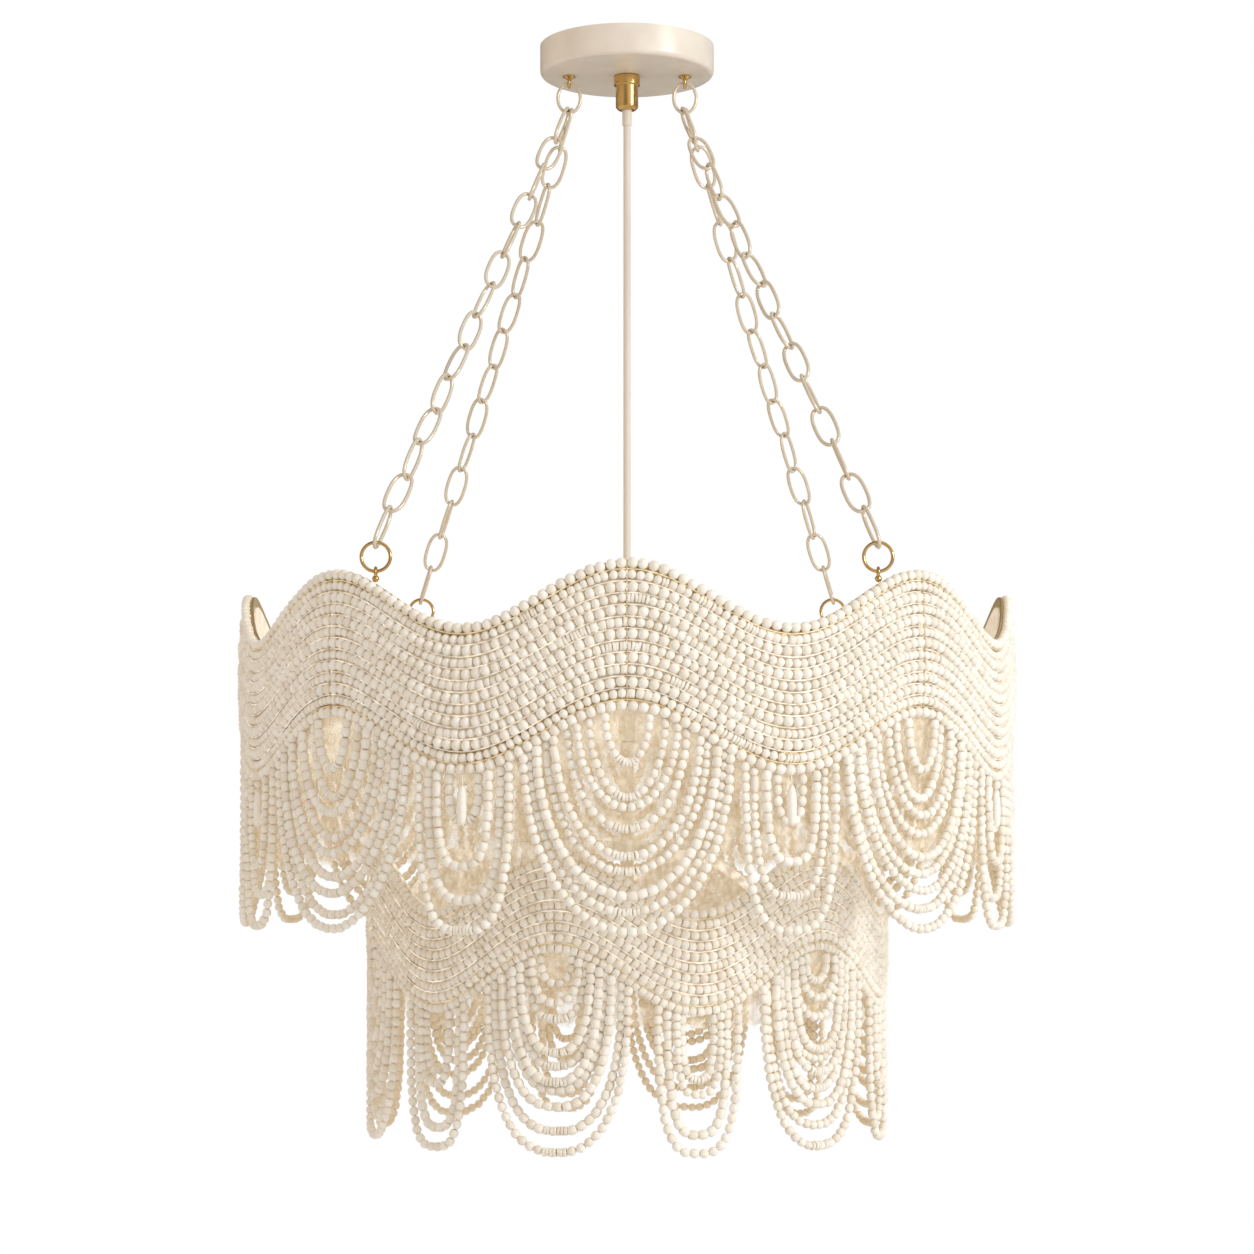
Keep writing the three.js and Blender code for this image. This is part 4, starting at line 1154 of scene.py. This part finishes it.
def cord_grip():
    """A collar and a round body with a wider mouth, where the sleeve's ball sits."""
    low, high, collar = bounds_of("cord_grip")
    cord = cord_radius + SEAT_GAP
    step = flange_top - GRIP_COLLAR_HEIGHT
    mouth_top = low + GRIP_PIVOT_RISE + GRIP_MOUTH_RADIUS
    profile = [
        (GRIP_MOUTH_RADIUS, low), (GRIP_BODY_RADIUS - GRIP_LIP, low),
        (GRIP_BODY_RADIUS, low + GRIP_LIP), (GRIP_BODY_RADIUS, step), (collar, step),
        (collar, flange_top), (NECK_RADIUS, flange_top), (NECK_RADIUS, high), (cord, high),
        (cord, mouth_top), (GRIP_MOUTH_RADIUS, mouth_top),
    ]
    return skin(turned(softened(profile, radius=0.0008, closed=True, steps=4), sides=72))


def cord_sleeve():
    """A soft tapered sleeve with a ball end in the grip's mouth."""
    low, _, ball = bounds_of("cord_sleeve")
    cord = cord_radius + SEAT_GAP / 2
    angle = np.linspace(np.arccos(cord / ball), -np.arccos(SKIRT_RADIUS / ball), 10)
    outside = np.column_stack([ball * np.cos(angle), pivot_height + ball * np.sin(angle)])
    down = np.linspace(outside[-1, 1], low + SKIRT_HEM, 14)[1:]
    skirt = np.column_stack([np.full(len(down), SKIRT_RADIUS), down])
    profile = np.concatenate([outside, skirt, [(SKIRT_RADIUS - SKIRT_BEVEL, low), (cord, low)]])
    return skin(turned(profile[::-1], sides=40))


def frame_pivot(joint_name):
    return next(joint for joint in frame["joints"] if joint["name"] == joint_name)["pos_m"][2]


def supply_cord(high, low, steps=8):
    points = np.column_stack([np.zeros(steps), np.zeros(steps), np.linspace(low, high, steps)])
    return skin(sweep(points, ACROSS, cord_radius, 24), closed=False)


flange_top = bounds_of("canopy")[0] - SEAT_GAP
pivot_height = frame_pivot("cord_sway")
cord_low, cord_high, cord_radius = bounds_of("supply_cord")
bush_low, bush_high, bush_radius = bounds_of("cord_bush")
sleeve_low, sleeve_high, _ = bounds_of("cord_sleeve")
piece("canopy_cup", canopy_cup(), CANOPY_PAINT, "canopy_assembly", "canopy_paint", "canopy")
for side_word in ("left", "right"):
    piece(f"{side_word}_hanger_loop", hanger_eye(f"{side_word}_hanger_eye"), BRASS,
          "canopy_assembly", "brass", f"{side_word}_hanger_eye")
piece("cord_grip_body", cord_grip(), BRASS, "canopy_assembly", "brass", "cord_grip")
sleeve = piece("cord_relief", cord_sleeve(), CORD, None, "cord", "cord_sleeve")
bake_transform(sleeve)
piece("supply_cord_run", supply_cord(pivot_height, bush_high - CORD_DIP, steps=60), CORD,
      "supply_cord", "cord", "supply_cord")
piece("supply_cord_top", supply_cord(cord_high, sleeve_high + SEAT_GAP), CORD,
      "canopy_assembly", "cord")
piece("supply_cord_foot", supply_cord(bush_high - 2 * CORD_DIP, cord_low), CORD, "tiers", "cord")


# Stem, spiders and lamps.
def cord_bush():
    """A cap on the stem's top, bored for the cord."""
    _, stem_top, stem_radius = bounds_of("upper_stem_tube")
    socket, socket_top = stem_radius + SEAT_GAP, stem_top + SEAT_GAP
    bore = cord_radius + BUSH_PLAY
    return turned_piece([
        (socket, bush_low), (bush_radius, bush_low), (bush_radius, bush_low + BUSH_SHOULDER),
        (BUSH_TIP_RADIUS, bush_high), (bore, bush_high), (bore, socket_top), (socket, socket_top),
    ])


def stem_tube():
    low, high, radius = bounds_of("upper_stem_tube")
    return turned_piece(tube_profile(UPPER_STEM_BORE, radius, low, high))


def lower_stem():
    """A rod with a collar under the lamp cluster and a spigot up into the upper tube."""
    low, high, collar = bounds_of("lower_stem_tube")
    joint = bounds_of("upper_stem_tube")[0] - SEAT_GAP
    tube = LOWER_STEM_RADIUS
    under_hub = bounds_of("candle_sleeve_1")[0] - HUB_BELOW_CANDLE - 2 * SEAT_GAP - LAMP_HUB_HALF
    collar_foot = under_hub - STEM_COLLAR_HEIGHT
    return turned_piece([
        (AXIS_GAP, low), (tube, low), (tube, collar_foot), (collar, collar_foot),
        (collar, under_hub), (tube, under_hub), (tube, joint), (SPIGOT_RADIUS, joint),
        (SPIGOT_RADIUS, high), (AXIS_GAP, high),
    ], closed=False)


def finial():
    """A ball under a round body with a rim."""
    low, high, radius = bounds_of("finial_nut")
    ball = FINIAL_BALL_RADIUS
    angle = np.radians(np.linspace(-86, 40, 14))
    knob = np.column_stack([ball * np.cos(angle), low + ball + ball * np.sin(angle)])
    neck = low + 2 * ball
    return skin(turned(np.concatenate([knob, [
        (FINIAL_NECK_RADIUS, neck), (FINIAL_BODY_RADIUS, neck + FINIAL_BEVEL),
        (FINIAL_BODY_RADIUS, high - FINIAL_BODY_DEPTH), (radius, high - FINIAL_RIM_HEIGHT),
        (radius, high), (FINIAL_NECK_RADIUS, high),
    ]])), closed=False)


def spider(tier, height, bore, count, first):
    """A flat hub with rods out to the liner, each with a pad at its end."""
    profile = tube_profile(bore, HUB_RADIUS, height - HUB_HALF, height + HUB_HALF)
    shape = turned_piece(profile, edge_radius=0.0012, sides=56)
    for azimuth in first + TURN * np.arange(count) / count:
        start = around(azimuth, ROD_START, height)
        end = around(azimuth, liner_inside(tier) - ROD_END_GAP, height)
        shape.add_rings(sweep(np.linspace(start, end, 4), UP, ROD_RADIUS, 16))
        pad = end - unit(end - start) * PAD_THICKNESS
        shape.add_rings(sweep(np.linspace(pad, end, 3), UP, PAD_RADIUS, 24))
    return shape


def lamp_cluster():
    """A hub with four arms, and a cup with a lampholder at the end of each."""
    height = bounds_of("candle_sleeve_1")[0] - (HUB_BELOW_CANDLE + SEAT_GAP)
    profile = tube_profile(LOWER_HUB_BORE, LAMP_HUB_RADIUS, height - LAMP_HUB_HALF,
                           height + LAMP_HUB_HALF)
    shape = turned_piece(profile, edge_radius=0.0016, sides=64)
    for lamp in LAMPS:
        x, y = middle_and_half(f"candle_sleeve_{lamp}")[0][:2]
        low, high, _ = bounds_of(f"candle_sleeve_{lamp}")
        top = low - SEAT_GAP
        cup = [
            (AXIS_GAP, top - CUP_DEPTH), (CUP_FOOT_RADIUS, top - CUP_DEPTH),
            (CUP_RADIUS, top - CUP_LIP), (CUP_RADIUS, top), (HOLDER_RADIUS, top),
            (HOLDER_RADIUS, high - HOLDER_DEPTH), (SOCKET_RADIUS, high - HOLDER_DEPTH),
            (SOCKET_RADIUS, high - SOCKET_DEPTH), (AXIS_GAP, high - SOCKET_DEPTH),
        ]
        shape.add_rings(turned(softened(cup, EDGE_RADIUS), centre=(x, y), sides=40))
        outward = unit(np.array([x, y, 0.0]))
        start = outward * ARM_START + UP * height
        end = np.array([x, y, height]) - outward * ARM_END_GAP
        shape.add_rings(sweep(np.linspace(start, end, 16), UP, ARM_RADIUS, 14))
    return shape


def candle(lamp):
    node = f"candle_sleeve_{lamp}"
    low, high, _ = bounds_of(node)
    middle, half = middle_and_half(node)
    profile = tube_profile(CANDLE_BORE, half[0], low, high)
    return turned_piece(profile, edge_radius=0.0007, centre=middle[:2])


def bulb(lamp):
    """A pointed glass over a straight cap that sits in the lampholder."""
    low, high, _ = bounds_of(f"bulb_{lamp}")
    middle, half = middle_and_half(f"bulb_{lamp}")
    radius = half[0]
    neck = bounds_of(f"candle_sleeve_{lamp}")[1]
    heights, widths = np.vstack([(0, GLASS_NECK_RADIUS / radius), BULB_SHARES]).T
    levels = np.linspace(0, 1, 36)
    glass = np.column_stack([
        np.interp(levels, heights, widths) * radius, neck + levels * (high - neck)])
    glass[1:-1, 0] = (glass[:-2, 0] + 2 * glass[1:-1, 0] + glass[2:, 0]) / 4
    cap = [(AXIS_GAP, low), (CAP_RADIUS, low), (CAP_RADIUS, neck - CAP_DEPTH)]
    return skin(turned(np.concatenate([cap, glass]), middle[:2]), closed=False)


piece("cord_bush_cap", cord_bush(), BRASS, "tiers", "brass", "cord_bush")
piece("upper_stem", stem_tube(), TUBE_PAINT, "tiers", "cream_tube", "upper_stem_tube")
piece("lower_stem", lower_stem(), TUBE_PAINT, "tiers", "cream_tube", "lower_stem_tube")
piece("finial_knob", finial(), BRASS, "tiers", "brass", "finial_nut")
upper_hub = bush_low - SEAT_GAP - HUB_HALF
lower_hub = bounds_of("lower_spider")[0] + HUB_HALF
first_rod = UPPER.crest + TURN / UPPER.waves
upper_spider = spider(UPPER, upper_hub, UPPER_HUB_BORE, count=4, first=first_rod)
lower_spider = spider(LOWER, lower_hub, LOWER_HUB_BORE, count=3, first=LOWER.crest)
for name, shape, node in (("upper_spider_rods", upper_spider, "upper_spider"),
                          ("lower_spider_rods", lower_spider, "lower_spider"),
                          ("lamp_arms", lamp_cluster(), "lamp_cluster")):
    piece(name, shape, CANOPY_PAINT, "tiers", "canopy_paint", node)
for lamp in LAMPS:
    piece(f"candle_{lamp}", candle(lamp), TUBE_PAINT, "tiers", "cream_tube",
          f"candle_sleeve_{lamp}")
    piece(f"candle_bulb_{lamp}", bulb(lamp), BULB_GLASS, f"bulb_{lamp}", "bulb_glass",
          f"bulb_{lamp}")

for node in ("ceiling_bracket", "left_lock_nut", "right_lock_nut", "cord_grip_nut"):
    frame["nodes"][node].data.materials.clear()
    frame["nodes"][node].data.materials.append(ZINC)


# Floor, light and camera. Metal reflects walls of these levels, at places from left to right,
# which get dimmer towards the far side. The soft level is that of the room's even light.
FLOOR_HEIGHT = -2.4
FLOOR_RADIUS = 5.0
FLOOR_THICKNESS = 0.01
FLOOR_GREY = (0.9, 0.9, 0.9, 1)
FLOOR_GLOW_SHARE = 0.85
WHITE = (1, 1, 1, 1)
WARM_SIDE = (1, 0.84, 0.68, 1)
NEUTRAL_SIDE = (1, 0.985, 0.96, 1)
WALL_LEVELS = (
    (0, 0.85), (0.2, 0.7), (0.33, 0.28), (0.5, 0.45), (0.66, 1), (0.84, 1), (1, 0.5))
SOFT_LEVEL = 0.80
FAR_SIDE_LEVEL = 0.3
KEY_PLACE = (2.3, -1.7, 0.2)
KEY_TARGET = (0, 0, -0.55)
KEY_SIZE = 0.7
KEY_POWER = 34
KEY_COLOR = (1.0, 0.995, 0.98)
CAMERA_PLACE = (0, -2.4066, -0.67215)
CAMERA_PITCH = 0.0783
CAMERA_LENS = 84.77


def seen_directly(tree):
    """One for rays that come straight or through glass, and nought for others."""
    path = add_node(tree, "ShaderNodeLightPath").outputs
    return combine(tree, "MAXIMUM", path["Is Camera Ray"], path["Is Transmission Ray"])


def make_world():
    """A white room for the camera and for light that goes through glass, a dimmer one for soft
    light, and for reflections one with bright and dark walls."""
    world = bpy.data.worlds.new("studio")
    world.use_nodes = True
    bpy.context.scene.world = world
    tree = world.node_tree
    place = add_node(tree, "ShaderNodeTexCoord").outputs["Generated"]
    direction = add_node(tree, "ShaderNodeSeparateXYZ", Vector=place).outputs
    side = add_node(tree, "ShaderNodeMapRange", Value=direction["X"], From_Min=-1).outputs["Result"]
    greys = [(spot, (level, level, level, 1)) for spot, level in WALL_LEVELS]
    walls = color_ramp(tree, side, greys)
    tints = color_ramp(tree, side, [(0, WARM_SIDE), (0.6, NEUTRAL_SIDE), (1, NEUTRAL_SIDE)])
    depth = add_node(tree, "ShaderNodeMapRange", Value=direction["Y"], From_Min=-1, To_Min=1,
                     To_Max=FAR_SIDE_LEVEL).outputs["Result"]
    shaded = combine(tree, "MULTIPLY", walls, depth)
    glossy = add_node(tree, "ShaderNodeLightPath").outputs["Is Glossy Ray"]
    soft = mix(tree, "FLOAT", glossy, SOFT_LEVEL, shaded)
    seen = seen_directly(tree)
    feed(tree, tree.nodes["Background"], Color=mix(tree, "RGBA", seen, tints, WHITE),
         Strength=mix(tree, "FLOAT", seen, soft, 1))


def make_floor():
    """A pale disc, which glows a little where it is seen directly."""
    rings = turned([(FLOOR_RADIUS, FLOOR_HEIGHT - FLOOR_THICKNESS), (FLOOR_RADIUS, FLOOR_HEIGHT)],
                   sides=96)
    mesh = skin(rings, closed=False).mesh("floor")
    look = bpy.data.materials.new("pale_floor")
    look.use_nodes = True
    tree = look.node_tree
    shader = tree.nodes["Principled BSDF"]
    feed(tree, shader, Base_Color=FLOOR_GREY, Roughness=0.9)
    glow = add_node(tree, "ShaderNodeEmission", Strength=1)
    surface = add_node(tree, "ShaderNodeMixShader")
    share = combine(tree, "MULTIPLY", seen_directly(tree), FLOOR_GLOW_SHARE)
    for socket, value in zip(surface.inputs, (share, shader.outputs[0], glow.outputs[0])):
        put(tree, socket, value)
    feed(tree, tree.nodes["Material Output"], Surface=surface.outputs[0])
    mesh.materials.append(look)
    add_object("floor", mesh)


def make_key_light():
    light = bpy.data.lights.new("key_light", "AREA")
    light.shape = "DISK"
    light.size = KEY_SIZE
    light.energy = KEY_POWER
    light.color = KEY_COLOR
    holder = add_object("key_light", light)
    holder.location = KEY_PLACE
    direction = Vector(KEY_TARGET) - holder.location
    holder.rotation_euler = direction.to_track_quat("-Z", "Y").to_euler()


def make_camera():
    camera = bpy.data.cameras.new("camera")
    camera.sensor_width = 36
    camera.lens = CAMERA_LENS
    holder = add_object("camera", camera)
    holder.location = CAMERA_PLACE
    holder.rotation_euler = (pi / 2 + CAMERA_PITCH, 0, 0)
    bpy.context.scene.camera = holder


make_world()
make_floor()
make_key_light()
make_camera()
bpy.context.scene.view_settings.view_transform = "Standard"
